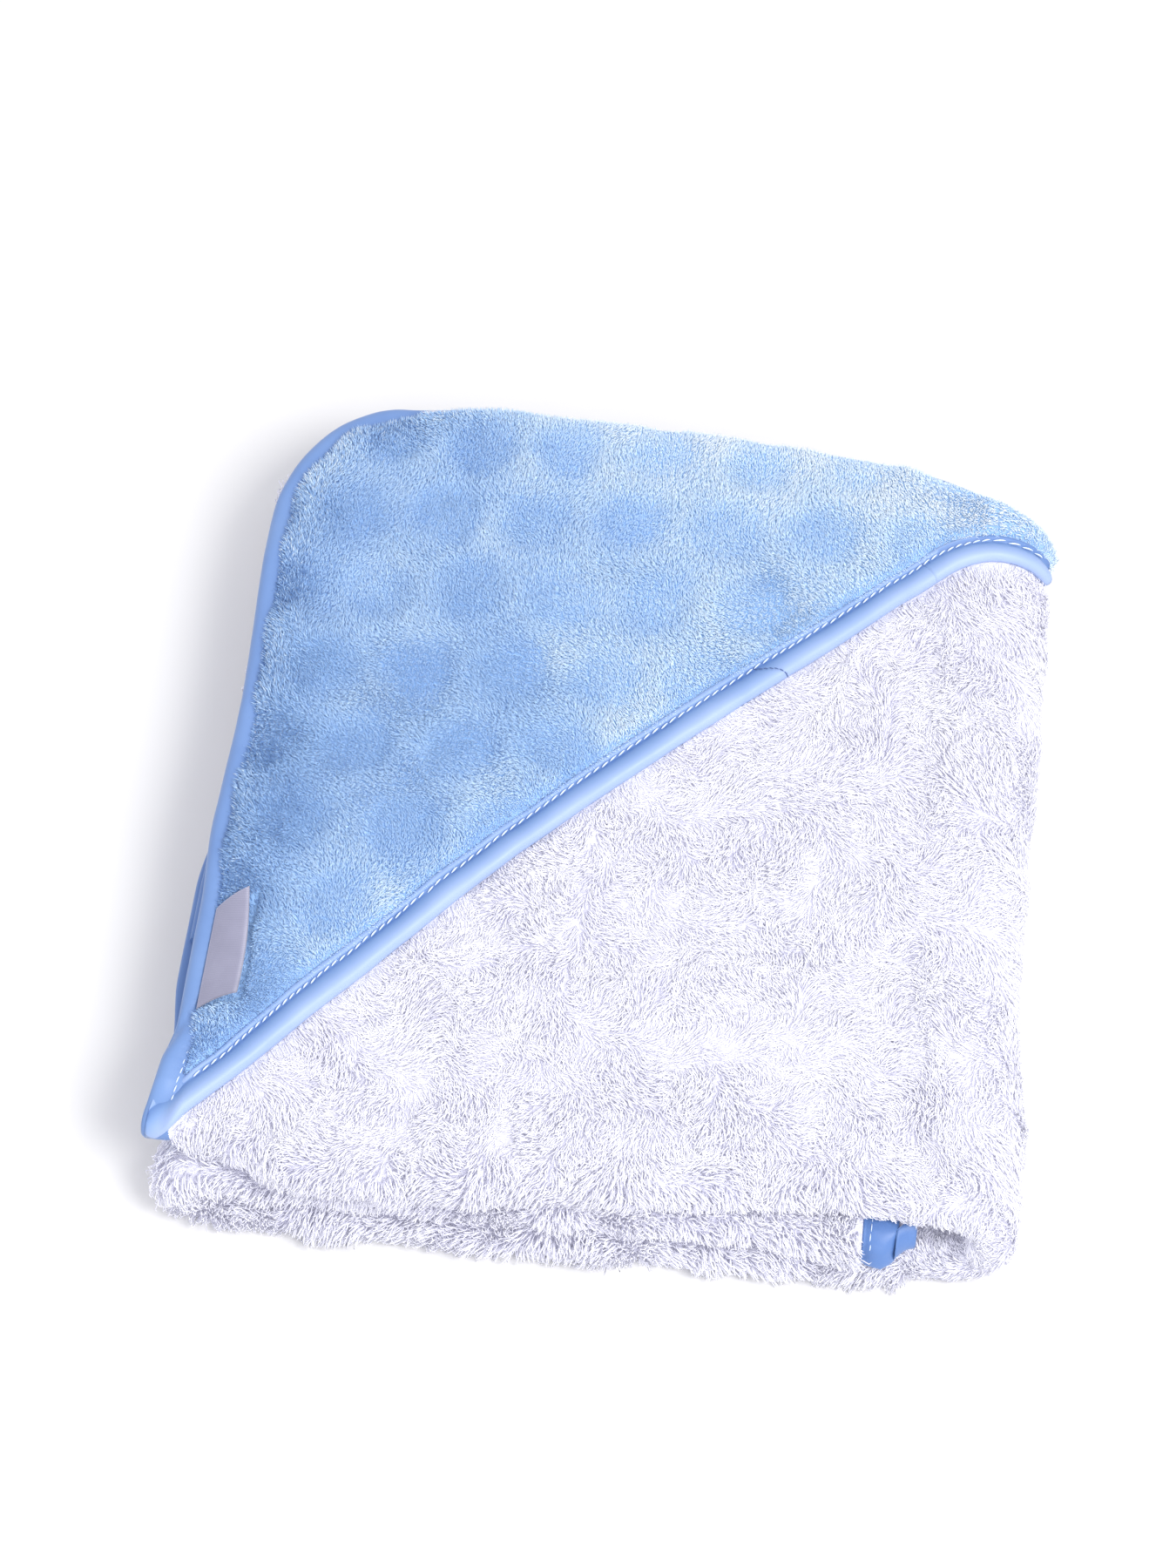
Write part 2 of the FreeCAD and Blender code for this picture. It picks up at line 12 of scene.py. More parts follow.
import bpy
import numpy as np
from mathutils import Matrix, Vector


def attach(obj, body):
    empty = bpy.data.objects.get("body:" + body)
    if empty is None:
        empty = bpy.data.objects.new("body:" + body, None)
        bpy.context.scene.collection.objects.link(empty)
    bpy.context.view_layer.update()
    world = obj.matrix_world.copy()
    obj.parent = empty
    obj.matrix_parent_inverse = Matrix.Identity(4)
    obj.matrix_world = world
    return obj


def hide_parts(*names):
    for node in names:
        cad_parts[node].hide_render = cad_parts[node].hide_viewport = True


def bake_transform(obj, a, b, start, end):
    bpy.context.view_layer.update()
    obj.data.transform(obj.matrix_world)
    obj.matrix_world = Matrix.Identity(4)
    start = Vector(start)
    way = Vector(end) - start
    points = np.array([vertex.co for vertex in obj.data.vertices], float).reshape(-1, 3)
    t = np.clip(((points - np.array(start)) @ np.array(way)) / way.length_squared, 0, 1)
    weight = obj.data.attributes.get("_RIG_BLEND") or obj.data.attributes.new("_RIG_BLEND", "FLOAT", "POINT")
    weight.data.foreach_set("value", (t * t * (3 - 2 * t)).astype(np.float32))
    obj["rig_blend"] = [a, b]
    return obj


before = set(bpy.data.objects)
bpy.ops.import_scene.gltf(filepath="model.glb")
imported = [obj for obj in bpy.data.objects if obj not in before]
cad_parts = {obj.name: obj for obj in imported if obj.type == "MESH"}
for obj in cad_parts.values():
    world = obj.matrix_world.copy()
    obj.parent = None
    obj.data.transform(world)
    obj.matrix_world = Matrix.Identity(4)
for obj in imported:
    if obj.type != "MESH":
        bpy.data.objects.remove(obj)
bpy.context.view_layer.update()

MM = 0.001

# ---------------------------------------------------------------- folded cloth sizes
# "across" runs over the width of the cloth: left edge, top section, right fold,
# bottom section, left fold, tucked section. "along" runs from the back edge
# (negative) over the front roll (0 to ROLL), back underneath, round the hidden
# turn at the back and forward again to the far edge.
SHEET = 4.3                           # thickness of one sheet
GAP = 0.35                            # between sheets
STACK = 3 * SHEET + 2 * GAP           # outer thickness of the front roll
TURN_R = SHEET + 0.5 * GAP            # hidden turn at the back
ROLL = math.pi * STACK / 2            # length round the front roll
TURN = math.pi * TURN_R
EDGE_X = -135.0                       # left edge of the top section
RIGHT_X, RIGHT_R, RIGHT_Z = 114.0, 14.2, 21.0      # right fold: axis and radius
LEFT_X, LEFT_R, LEFT_Z = -114.1, 7.1, 13.9         # left fold: axis and radius
TUCKED_X = 99.0                       # end of the tucked section
FAR_EDGE = 68.0                       # far edge of the cloth, from its front edge
A_RIGHT = RIGHT_X - EDGE_X            # "across" where each part begins
A_BOTTOM = A_RIGHT + math.pi * RIGHT_R
A_LEFT = A_BOTTOM + RIGHT_X - LEFT_X
A_TUCKED = A_LEFT + math.pi * LEFT_R
A_END = A_TUCKED + TUCKED_X - LEFT_X
PIVOT_X, PIVOT_Z = 111.5, 23.6        # axis the top section opens about
BEND_X = 97.0                         # the bending starts here
A_BEND = BEND_X - EDGE_X
CORNER_R = 48.0                       # rounded back left corner


# ------------------------------------------------------------------- number helpers
@functools.lru_cache(maxsize=None)
def noise_table(seed):
    return np.random.RandomState(seed).rand(64, 64) * 2 - 1


def vnoise(x, y, size, seed):
    """Smooth noise from -1 to 1, with features of the given size."""
    table = noise_table(seed)
    x = np.asarray(x, float) / size + 1000.0
    y = np.asarray(y, float) / size + 1000.0
    i = np.floor(x).astype(int)
    j = np.floor(y).astype(int)
    x = x - i
    y = y - j
    x = x * x * x * (x * (x * 6 - 15) + 10)
    y = y * y * y * (y * (y * 6 - 15) + 10)
    near = table[i % 64, j % 64] * (1 - x) + table[(i + 1) % 64, j % 64] * x
    far = table[i % 64, (j + 1) % 64] * (1 - x) + table[(i + 1) % 64, (j + 1) % 64] * x
    return near * (1 - y) + far * y


def layered(x, y, *layers):
    """Sum of noise layers, each given as (amount, size, seed)."""
    return sum(amount * vnoise(x, y, size, seed) for amount, size, seed in layers)


def clamp01(value):
    return np.clip(value, 0, 1)


def smoothstep(start, end, value):
    t = clamp01((np.asarray(value, float) - start) / (end - start))
    return t * t * (3 - 2 * t)


def bell(distance, width):
    return np.exp(-(distance / width) ** 2)


def unit(vectors):
    return vectors / (np.linalg.norm(vectors, axis=-1, keepdims=True) + 1e-9)


def smoothed(values, sigma, reach, **padding):
    steps = np.arange(-reach, reach + 1)
    kernel = np.exp(-0.5 * (steps / sigma) ** 2)
    return np.convolve(np.pad(values, reach, **padding), kernel / kernel.sum(), mode="valid")


def arc_length(across, along):
    return np.concatenate([[0], np.cumsum(np.hypot(np.diff(across), np.diff(along)))])


# ---------------------------------------------------------------- outlines in plan
def on_top(x):
    return x - EDGE_X


def on_bottom(x):
    return A_BOTTOM + (RIGHT_X - x)


def on_tucked(x):
    return A_TUCKED + (x - LEFT_X)


STATIONS = np.arange(-40.0, A_END + 40.0, 1.0)


def outline(points, sigma):
    """Smoothed edge at STATIONS, from points of (across, y)."""
    across, y = np.array(points, float).T
    return smoothed(np.interp(STATIONS, across, y), sigma, 4 * sigma, mode="edge")


FRONT = outline([
    (-40, -130.5), (4, -130.3), (10, -130.3), (on_top(-116), -131), (on_top(-105), -135),
    (on_top(-96), -138.5), (on_top(-86), -142), (on_top(-66), -142.5), (on_top(-29), -140.5),
    (on_top(8), -137.8), (on_top(43), -134.6), (on_top(77), -132), (on_top(101), -133.5),
    (A_RIGHT, -135.5), (A_RIGHT + 22, -140), (A_BOTTOM + 5, -140.5), (on_bottom(60), -142.5),
    (on_bottom(7), -142.5), (on_bottom(-75), -143), (A_LEFT, -142), (A_TUCKED, -138.5),
    (on_tucked(-60), -139), (on_tucked(0), -139.5), (on_tucked(60), -140), (A_END - 20, -142),
    (A_END, -144)], 6)
BACK = outline([
    (0, 145.2), (on_top(-95), 145.8), (on_top(-81), 147.8), (on_top(-57), 148.6),
    (on_top(-33), 147.2), (on_top(3), 145.8), (on_top(39), 143.2), (on_top(63), 140.8),
    (on_top(87), 137.0), (on_top(99), 134.4), (on_top(111), 129.6), (A_RIGHT + 6, 125.0),
    (A_RIGHT + 12, 123.0), (A_RIGHT + 22, 121.6), (A_BOTTOM, 120.5), (on_bottom(100), 122.0),
    (on_bottom(60), 128), (A_LEFT, 134), (A_TUCKED, 134), (on_tucked(0), 133), (A_END, 129)], 5)
LOWER_BACK = outline([
    (0, 118.0), (A_RIGHT, 117.0), (A_BOTTOM, 114.0), (on_bottom(60), 117), (A_LEFT, 121.0),
    (A_END, 120.0)], 9)
# sideways shift of the left and right edges: (y, shift in x)
LEFT_SHIFT = np.array([
    (-146, -4.2), (-133, -3.2), (-127, -2.2), (-115, -0.1), (-103, 1.3), (-79, 1.5), (-66, 1.9),
    (-54, 2.5), (-41, 3.1), (-28, 4.0), (-15, 5.0), (-2, 5.5), (11, 6.1), (25, 6.5), (52, 6.6),
    (80, 6.5), (94, 6.9), (102, 7.3), (112, 8.0), (150, 8.0)], float).T
RIGHT_SHIFT = np.array([
    (-150, -2.6), (-127, -2.8), (-97, -1.8), (-67, -4.0), (-36, -4.6), (-4, -3.8), (29, -1.9),
    (63, -0.8), (98, -0.8), (120, -1.4), (150, -1.5)], float).T


def front_y(across):
    return np.interp(across, STATIONS, FRONT)


def straight_back_y(across):
    """Back edge of the outer sheet, ignoring the rounded corner."""
    return np.interp(across, STATIONS, BACK)


CORNER_Y = float(straight_back_y(CORNER_R - 5)) - CORNER_R


def back_y(across):
    """Back edge of the outer sheet, with the towel's rounded corner."""
    y = straight_back_y(across)
    inward = np.clip(CORNER_R - across, 0, CORNER_R)
    arc = CORNER_Y + np.sqrt(np.maximum(CORNER_R * CORNER_R - inward * inward, 0))
    return np.where(across < CORNER_R, np.minimum(arc, y), y)


def lower_back_y(across):
    """Back of the hidden turn."""
    return np.interp(across, STATIONS, LOWER_BACK)


def roll_y(across):
    """Axis of the front roll."""
    return front_y(across) + STACK / 2


def turn_start(across):
    """"along" where the hidden turn begins."""
    return ROLL + (lower_back_y(across) - TURN_R - roll_y(across))


def far_along(across, from_front):
    """"along" on the inner sheet at a distance behind the front edge."""
    return (turn_start(across) + TURN + (lower_back_y(across) - TURN_R)
            - (front_y(across) + from_front))


def flat_xy(across, along):
    """Unwarped X and Y of a point of the outer sheet."""
    return EDGE_X + across, roll_y(across) - along


def cloth_coords(x, y):
    """Inverse of flat_xy."""
    across = x - EDGE_X
    return across, roll_y(across) - y


# ---------------------------------------------------------- cloth coordinates to XYZ
def fold_path(across):
    """X, Z and outward normal (x, z) of the stack's middle line."""
    right = np.clip((across - A_RIGHT) / RIGHT_R, 0, math.pi)
    left = np.clip((across - A_LEFT) / LEFT_R, 0, math.pi)
    parts = [across < A_RIGHT, across < A_BOTTOM, across < A_LEFT, across < A_TUCKED]
    x = np.select(parts, [EDGE_X + across, RIGHT_X + RIGHT_R * np.sin(right),
                          RIGHT_X - (across - A_BOTTOM), LEFT_X - LEFT_R * np.sin(left)],
                  LEFT_X + (across - A_TUCKED))
    z = np.select(parts, [RIGHT_Z + RIGHT_R, RIGHT_Z + RIGHT_R * np.cos(right),
                          RIGHT_Z - RIGHT_R, LEFT_Z - LEFT_R * np.cos(left)],
                  LEFT_Z + LEFT_R)
    normal_x = np.select(parts, [0.0, np.sin(right), 0.0, -np.sin(left)], 0.0)
    normal_z = np.select(parts, [1.0, np.cos(right), -1.0, -np.cos(left)], 1.0)
    return x, z, normal_x, normal_z


def warp(x, y, across):
    """Sideways shift in plan: the top section leans inwards towards the back,
    the lower folds swell at the front left."""
    left = np.interp(y, *LEFT_SHIFT) + 0.35 * np.sin(y / 17.0)
    left = left * clamp01((20 - x) / 155.0) ** 1.4 * (across < A_RIGHT)
    right = np.interp(y, *RIGHT_SHIFT) * smoothstep(60, 120, x)
    swell = (-5.5 * (1 - smoothstep(-142, -95, y)) * smoothstep(-85, -128, x)
             * (across > A_BOTTOM))
    return left + right + swell


def place(across, along, height=0.0):
    """XYZ of points at a height over the cloth's outer side."""
    axis_y = roll_y(across)
    turn_y = lower_back_y(across) - TURN_R
    start = turn_start(across)
    roll_angle = np.clip(along / (STACK / 2), 0, math.pi)
    turn_angle = np.clip((along - start) / TURN_R, 0, math.pi)
    y = np.select(
        [along > start + TURN, along > start, along > ROLL, along > 0],
        [turn_y - (along - start - TURN), turn_y + TURN_R * np.sin(turn_angle),
         axis_y + (along - ROLL), axis_y - STACK / 2 * np.sin(roll_angle)],
        axis_y - along)
    out = np.where(along > start, -STACK / 2 + TURN_R - TURN_R * np.cos(turn_angle),
                   STACK / 2 * np.cos(roll_angle))
    angle = roll_angle + turn_angle
    y = y - height * np.sin(angle)
    out = out + height * np.cos(angle)
    path_x, path_z, normal_x, normal_z = fold_path(across)
    # the hidden sheets follow the towel's rounded corner
    beyond = np.clip(y - CORNER_Y, 0, CORNER_R - 1)
    tuck = (CORNER_R - np.sqrt(CORNER_R * CORNER_R - beyond * beyond)) * clamp01(1 - across / 60.0)
    x = path_x + out * normal_x + tuck * (along > ROLL) * (across < A_RIGHT)
    x = x + warp(path_x, y, across)
    return np.stack([x, y, path_z + out * normal_z], -1)


def sway(across, along):
    """Slow rise and fall of the outer side, and the creases by the right fold."""
    x, y = flat_xy(across, np.minimum(along, 0))
    height = layered(x, y, (1.3, 75, 5), (0.9, 31, 6), (0.55, 11, 15), (0.35, 5.5, 16))
    line = 99 + 7 * vnoise(y, 3, 42, 7)
    height = height - 2.6 * bell(x - line, 5.5) * (0.55 + 0.45 * vnoise(0, y, 26, 8))
    line = 84 + 10 * vnoise(y, 9, 60, 9)
    height = height - 1.8 * bell(x - line, 5.0) * clamp01(vnoise(7, y, 33, 10))
    height = height - 1.2 * clamp01(vnoise(x, y * 0.6, 17, 11) - 0.25)
    fade = clamp01((A_BOTTOM - 8 - across) / 25) * clamp01(1 - along / ROLL)
    # the roll keeps a gentle unevenness of its own
    uneven = layered(across, along, (0.8, 23, 12), (0.4, 9, 13))
    uneven = uneven * np.where(across > A_BOTTOM, 0.45, 0.8)
    uneven = uneven * clamp01((A_END - 13 - across) / 8) * clamp01((across - 9) / 8)
    return height * fade + uneven * clamp01(along / 6.0) * clamp01((ROLL - along) / 6.0)


# ------------------------------------------------------------------ mesh helpers
TURNED = [0, 3, 2, 1]      # the same face wound the other way from the same corner
NO_TRIS = np.empty((0, 3), int)


def add_piece(name, verts, quads, look, tris=NO_TRIS, attrs=None, replaced=()):
    """Smooth mesh from millimetre points; look is (material, slot), of which the slot is not used.
    Attributes hold one value per vertex or one per equal run of vertices."""
    mesh = bpy.data.meshes.new(name)
    corners = np.concatenate([quads.ravel(), tris.ravel()]).astype(np.int32)
    starts = np.concatenate([np.arange(len(quads)) * 4,
                             len(quads) * 4 + np.arange(len(tris)) * 3]).astype(np.int32)
    mesh.vertices.add(len(verts))
    mesh.vertices.foreach_set("co", (np.asarray(verts, np.float32) * MM).ravel())
    mesh.loops.add(len(corners))
    mesh.loops.foreach_set("vertex_index", corners)
    mesh.polygons.add(len(starts))
    mesh.polygons.foreach_set("loop_start", starts)
    mesh.update(calc_edges=True)
    mesh.validate()
    mesh.polygons.foreach_set("use_smooth", np.ones(len(mesh.polygons), bool))
    for key, values in (attrs or {}).items():
        mesh.attributes.new(key, "FLOAT", "POINT")
        set_attribute(mesh, key, values)
    # plan view UVs over a 340 mm square
    plan = np.stack([(verts[:, 0] + 170) / 340.0, (verts[:, 1] + 170) / 340.0], -1)
    layer = mesh.uv_layers.new(name="OFBake")
    corner_vertex = np.empty(len(mesh.loops), np.int32)
    mesh.loops.foreach_get("vertex_index", corner_vertex)
    layer.data.foreach_set("uv", np.asarray(plan, np.float32)[corner_vertex].ravel())
    mesh.update()
    piece = bpy.data.objects.new(name, mesh)
    bpy.context.scene.collection.objects.link(piece)
    material, slot = look
    mesh.materials.append(material)
    if replaced:
        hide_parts(*replaced)
    return piece


def set_attribute(mesh, key, values):
    values = np.repeat(np.asarray(values, np.float32), len(mesh.vertices) // len(values))
    mesh.attributes[key].data.foreach_set("value", values)


def grid_quads(rows, columns, closed=False, base=0):
    i, j = np.meshgrid(np.arange(rows - 1), np.arange(columns if closed else columns - 1),
                       indexing="ij")
    after = (j + 1) % columns
    return np.stack([i * columns + j, (i + 1) * columns + j, (i + 1) * columns + after,
                     i * columns + after], -1).reshape(-1, 4) + base


def slab_quads(rows, columns, turn_rim=False):
    """Two stacked grids joined by a rim; the second grid's vertices come last."""
    count = rows * columns
    index = np.arange(count).reshape(rows, columns)
    rim = []
    for line in (index[0, :], index[:, -1], index[-1, ::-1], index[::-1, 0]):
        here, after = line[:-1], line[1:]
        rim.append(np.stack([here, here + count, after + count, after], -1))
    rim = np.concatenate(rim)
    if turn_rim:
        rim = rim[:, TURNED]
    return np.concatenate([grid_quads(rows, columns),
                           grid_quads(rows, columns, base=count)[:, ::-1], rim])


def copies(faces, count, step):
    """Faces repeated for count equal runs of step vertices."""
    faces = np.asarray(faces)
    return (np.arange(count)[:, None, None] * step + faces[None]).reshape(-1, faces.shape[1])


# ---------------------------------------------------------------- blend weights
def sheet_weight(across, points):
    """1 on the top section, 0 on the bottom one, by the angle round the fold."""
    angle = np.degrees(np.arctan2(points[..., 2] - PIVOT_Z, points[..., 0] - PIVOT_X))
    weight = clamp01((angle + 122.0) / 250.0)
    weight = np.where(across <= A_BEND, 1.0, weight)
    return np.where(across >= on_bottom(BEND_X), 0.0, weight)


def mouth_weight(x, y):
    """0 along the hood's sewn legs, 1 at the middle of its mouth."""
    left = x + 106.4
    back = (109.97 - 0.09 * x) - y
    share = left / np.maximum(left + back, 1e-3)
    weight = np.sin(math.pi * clamp01(share)) ** 1.5
    return np.where((left <= 0) | (back <= 0), 0.0, weight)


def set_blend(piece, weights):
    set_attribute(piece.data, "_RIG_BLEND", weights)
    piece.data.update()


def on_fold(piece, weights):
    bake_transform(piece, "bottom_section", "top_section", start=(0.097, 0, 0.0),
             end=(0.097, 0, 0.042))
    set_blend(piece, weights)


def on_hood(piece, weights):
    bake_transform(piece, "top_section", "hood_mouth", start=(-0.106, 0.119, 0.046),
             end=(0.0, 0.0, 0.046))
    set_blend(piece, weights)


# -------------------------------------------------------------------- materials
def feed(tree, node, inputs):
    """Links sockets and sets plain values on a node's inputs."""
    for key, value in inputs.items():
        if isinstance(value, bpy.types.NodeSocket):
            tree.links.new(value, node.inputs[key])
        else:
            node.inputs[key].default_value = value


class Shader:
    """A new material with short calls for the nodes used here."""

    def __init__(self, name):
        self.material = bpy.data.materials.new(name)
        self.material.use_nodes = True
        self.tree = self.material.node_tree
        self.bsdf = [n for n in self.tree.nodes if n.type == "BSDF_PRINCIPLED"][0]

    def node(self, kind, inputs, **settings):
        made = self.tree.nodes.new(kind)
        for key, value in settings.items():
            setattr(made, key, value)
        feed(self.tree, made, inputs)
        return made

    def coords(self):
        source = self.node("ShaderNodeTexCoord", {}).outputs["Object"]
        return self.node("ShaderNodeMapping", {"Vector": source}).outputs["Vector"]

    def noise(self, vector, scale, detail, roughness=0.5):
        return self.node("ShaderNodeTexNoise", {
            "Scale": scale, "Detail": detail, "Roughness": roughness,
            "Vector": vector}).outputs["Fac"]

    def wave(self, direction, scale, distortion):
        return self.node("ShaderNodeTexWave", {
            "Scale": scale, "Distortion": distortion, "Vector": self.coords()},
            wave_type="BANDS", bands_direction=direction).outputs["Fac"]

    def attribute(self, name):
        return self.node("ShaderNodeAttribute", {}, attribute_name=name).outputs["Fac"]

    def ramp(self, factor, *stops):
        """Colour ramp with stops of (position, colour)."""
        made = self.node("ShaderNodeValToRGB", {"Fac": factor})
        elements = made.color_ramp.elements
        while len(elements) < len(stops):
            elements.new(0.5)
        for element, (position, colour) in zip(elements, stops):
            element.position = position
            element.color = (*colour, 1.0)
        return made.outputs["Color"]

    def math(self, operation, first, second, clamp=False):
        return self.node("ShaderNodeMath", {0: first, 1: second}, operation=operation,
                         use_clamp=clamp).outputs[0]

    def plus(self, first, second, share):
        return self.math("ADD", first, self.math("MULTIPLY", second, share))

    def mix(self, *terms, clamp=True):
        """Sum of (socket, share) terms, clamped at the end."""
        total = self.math("MULTIPLY", *terms[0])
        for i, term in enumerate(terms[1:], 2):
            part = self.math("MULTIPLY", *term)
            total = self.math("ADD", total, part, clamp and i == len(terms))
        return total

    def bump(self, height, strength, distance):
        made = self.node("ShaderNodeBump", {"Strength": strength, "Distance": distance,
                                            "Height": height})
        self.surface({"Normal": made.outputs["Normal"]})

    def surface(self, inputs):
        feed(self.tree, self.bsdf, inputs)

    def sheen(self, weight, roughness, tint=(1, 1, 1)):
        self.surface({"Sheen Weight": weight, "Sheen Roughness": roughness,
                      "Sheen Tint": (*tint, 1)})

    def glow(self, colour, strength):
        """Stands for light scattered within the pile."""
        self.surface({"Emission Color": (*colour, 1.0), "Emission Strength": strength})


def terry_ground_material():
    shader = Shader("terry_ground_cloth")
    vector = shader.coords()
    coarse = shader.noise(vector, scale=420, detail=4, roughness=0.6)
    fine = shader.noise(vector, scale=1600, detail=2)
    # painted shade: the ground cloth is darker and more lavender than the yarns, for the shade down between
    # the loops; the coarse noise varies it at random
    colour = shader.ramp(coarse, (0.30, (0.70, 0.70, 0.84)), (0.62, (0.76, 0.76, 0.87)))
    shader.surface({"Base Color": colour, "Roughness": 0.95})
    shader.glow((0.82, 0.82, 1.0), strength=0.06)
    shader.sheen(weight=0.3, roughness=0.6)
    shader.bump(shader.plus(coarse, fine, share=0.6), strength=0.8, distance=0.0012)
    return shader.material


def terry_pile_material():
    shader = Shader("terry_pile_yarn")
    patches = shader.noise(shader.coords(), scale=55, detail=3, roughness=0.55)
    # painted shade: the yarns darken to lavender towards their roots (tip is 0 at the root), where shade
    # falls deep in the pile; the patches vary at random
    factor = shader.mix((patches, 0.55), (shader.attribute("tip"), 0.45))
    colour = shader.ramp(factor, (0.12, (0.685, 0.685, 0.84)), (0.5, (0.765, 0.765, 0.865)),
                         (0.8, (0.805, 0.81, 0.88)))
    shader.surface({"Base Color": colour, "Roughness": 0.8, "Specular IOR Level": 0.2})
    shader.glow((0.84, 0.84, 1.0), strength=0.085)
    shader.sheen(weight=0.4, roughness=0.5)
    return shader.material


def plush_ground_material():
    shader = Shader("plush_ground_cloth")
    vector = shader.coords()
    patches = shader.noise(vector, scale=60, detail=4, roughness=0.6)
    fine = shader.noise(vector, scale=1100, detail=3, roughness=0.6)
    # painted shade: valley is 0 in the sunken dots and 1 on the pads, so the ground is darker in the dots;
    # the noise varies it at random
    factor = shader.mix((shader.attribute("valley"), 0.12), (patches, 0.6), (fine, 0.25))
    colour = shader.ramp(factor, (0.15, (0.24, 0.44, 0.78)), (0.55, (0.34, 0.55, 0.86)),
                         (0.95, (0.45, 0.65, 0.92)))
    shader.surface({"Base Color": colour, "Roughness": 0.9})
    shader.sheen(weight=0.6, roughness=0.4, tint=(0.8, 0.9, 1.0))
    shader.bump(fine, strength=0.7, distance=0.0008)
    return shader.material


def plush_pile_material():
    shader = Shader("plush_pile_fibre")
    vector = shader.coords()
    patches = shader.noise(vector, scale=45, detail=4, roughness=0.6)
    fine = shader.noise(vector, scale=700, detail=2)
    # painted light and shade: darker in the sunken dots (valley 0) and towards the roots (tip 0), and
    # lighter or darker by the pile's painted sheen and shade attribute from build_plush_pile; the noise
    # varies it at random
    factor = shader.mix((shader.attribute("valley"), 0.09), (patches, 0.34),
                        (shader.attribute("sheen_and_shade"), 0.42), (shader.attribute("tip"), 0.14),
                        (fine, 0.16))
    colour = shader.ramp(factor, (0.02, (0.13, 0.26, 0.54)), (0.22, (0.31, 0.51, 0.82)),
                         (0.46, (0.46, 0.67, 0.95)), (0.70, (0.66, 0.83, 1.0)),
                         (1.0, (0.90, 0.96, 1.0)))
    shader.surface({"Base Color": colour, "Roughness": 0.6, "Specular IOR Level": 0.3})
    shader.glow((0.52, 0.70, 1.0), strength=0.035)
    shader.sheen(weight=0.5, roughness=0.4, tint=(0.85, 0.92, 1.0))
    return shader.material


def satin_material():
    shader = Shader("satin_tape")
    vector = shader.coords()
    patches = shader.noise(vector, scale=38, detail=3)
    weave = shader.noise(shader.coords(), scale=3200, detail=1, roughness=0.3)
    # painted light and shade: the shade attribute lightens the satin where light falls and darkens it in
    # grooves, under rolls and out of the light; the patches vary it at random
    factor = shader.mix((patches, 0.3), (shader.attribute("shade"), 0.7))
    colour = shader.ramp(factor, (0.12, (0.09, 0.185, 0.435)), (0.45, (0.185, 0.305, 0.565)),
                         (0.9, (0.345, 0.445, 0.70)))
    roughness = shader.ramp(patches, (0.2, (0.38,) * 3), (0.8, (0.52,) * 3))
    shader.surface({"Base Color": colour, "Roughness": roughness, "Specular IOR Level": 0.45})
    shader.sheen(weight=0.22, roughness=0.3, tint=(0.8, 0.88, 1.0))
    relief = shader.mix((weave, 0.4), (shader.noise(vector, scale=420, detail=2), 0.6),
                        clamp=False)
    shader.bump(relief, strength=0.25, distance=0.0003)
    return shader.material


def thread_material(name, dark, light):
    shader = Shader(name)
    twist = shader.noise(shader.coords(), scale=1800, detail=2)
    shader.surface({"Base Color": shader.ramp(twist, (0.3, dark), (0.7, light)),
                    "Roughness": 0.5})
    shader.sheen(weight=0.3, roughness=0.4)
    shader.bump(twist, strength=0.5, distance=0.0002)
    return shader.material


def label_material():
    shader = Shader("woven_label")
    weft = shader.wave("Y", scale=520, distortion=0.4)
    warp_yarn = shader.wave("X", scale=700, distortion=0.3)
    patches = shader.noise(shader.coords(), scale=120, detail=3)
    factor = shader.mix((patches, 0.5), (weft, 0.2), (shader.attribute("edge"), 0.35))
    colour = shader.ramp(factor, (0.1, (0.225, 0.225, 0.31)), (0.5, (0.28, 0.28, 0.38)),
                         (0.95, (0.46, 0.46, 0.56)))
    shader.surface({"Base Color": colour, "Roughness": 0.42})
    shader.sheen(weight=0.3, roughness=0.3)
    shader.bump(shader.plus(weft, warp_yarn, share=0.6), strength=0.35, distance=0.0002)
    return shader.material


# looks: (material, slot)
TERRY_GROUND = (terry_ground_material(), "terry")
TERRY_PILE = (terry_pile_material(), "terry")
PLUSH_GROUND = (plush_ground_material(), "plush")
PLUSH_PILE = (plush_pile_material(), "plush")
SATIN = (satin_material(), "satin_binding")
THREAD = (thread_material("light_thread", (0.50, 0.62, 0.86), (0.80, 0.87, 0.97)), "thread")
SEAM_THREAD = (thread_material("dark_seam_thread", (0.02, 0.05, 0.17), (0.07, 0.13, 0.32)),
               "seam_thread")
LABEL = (label_material(), "label")


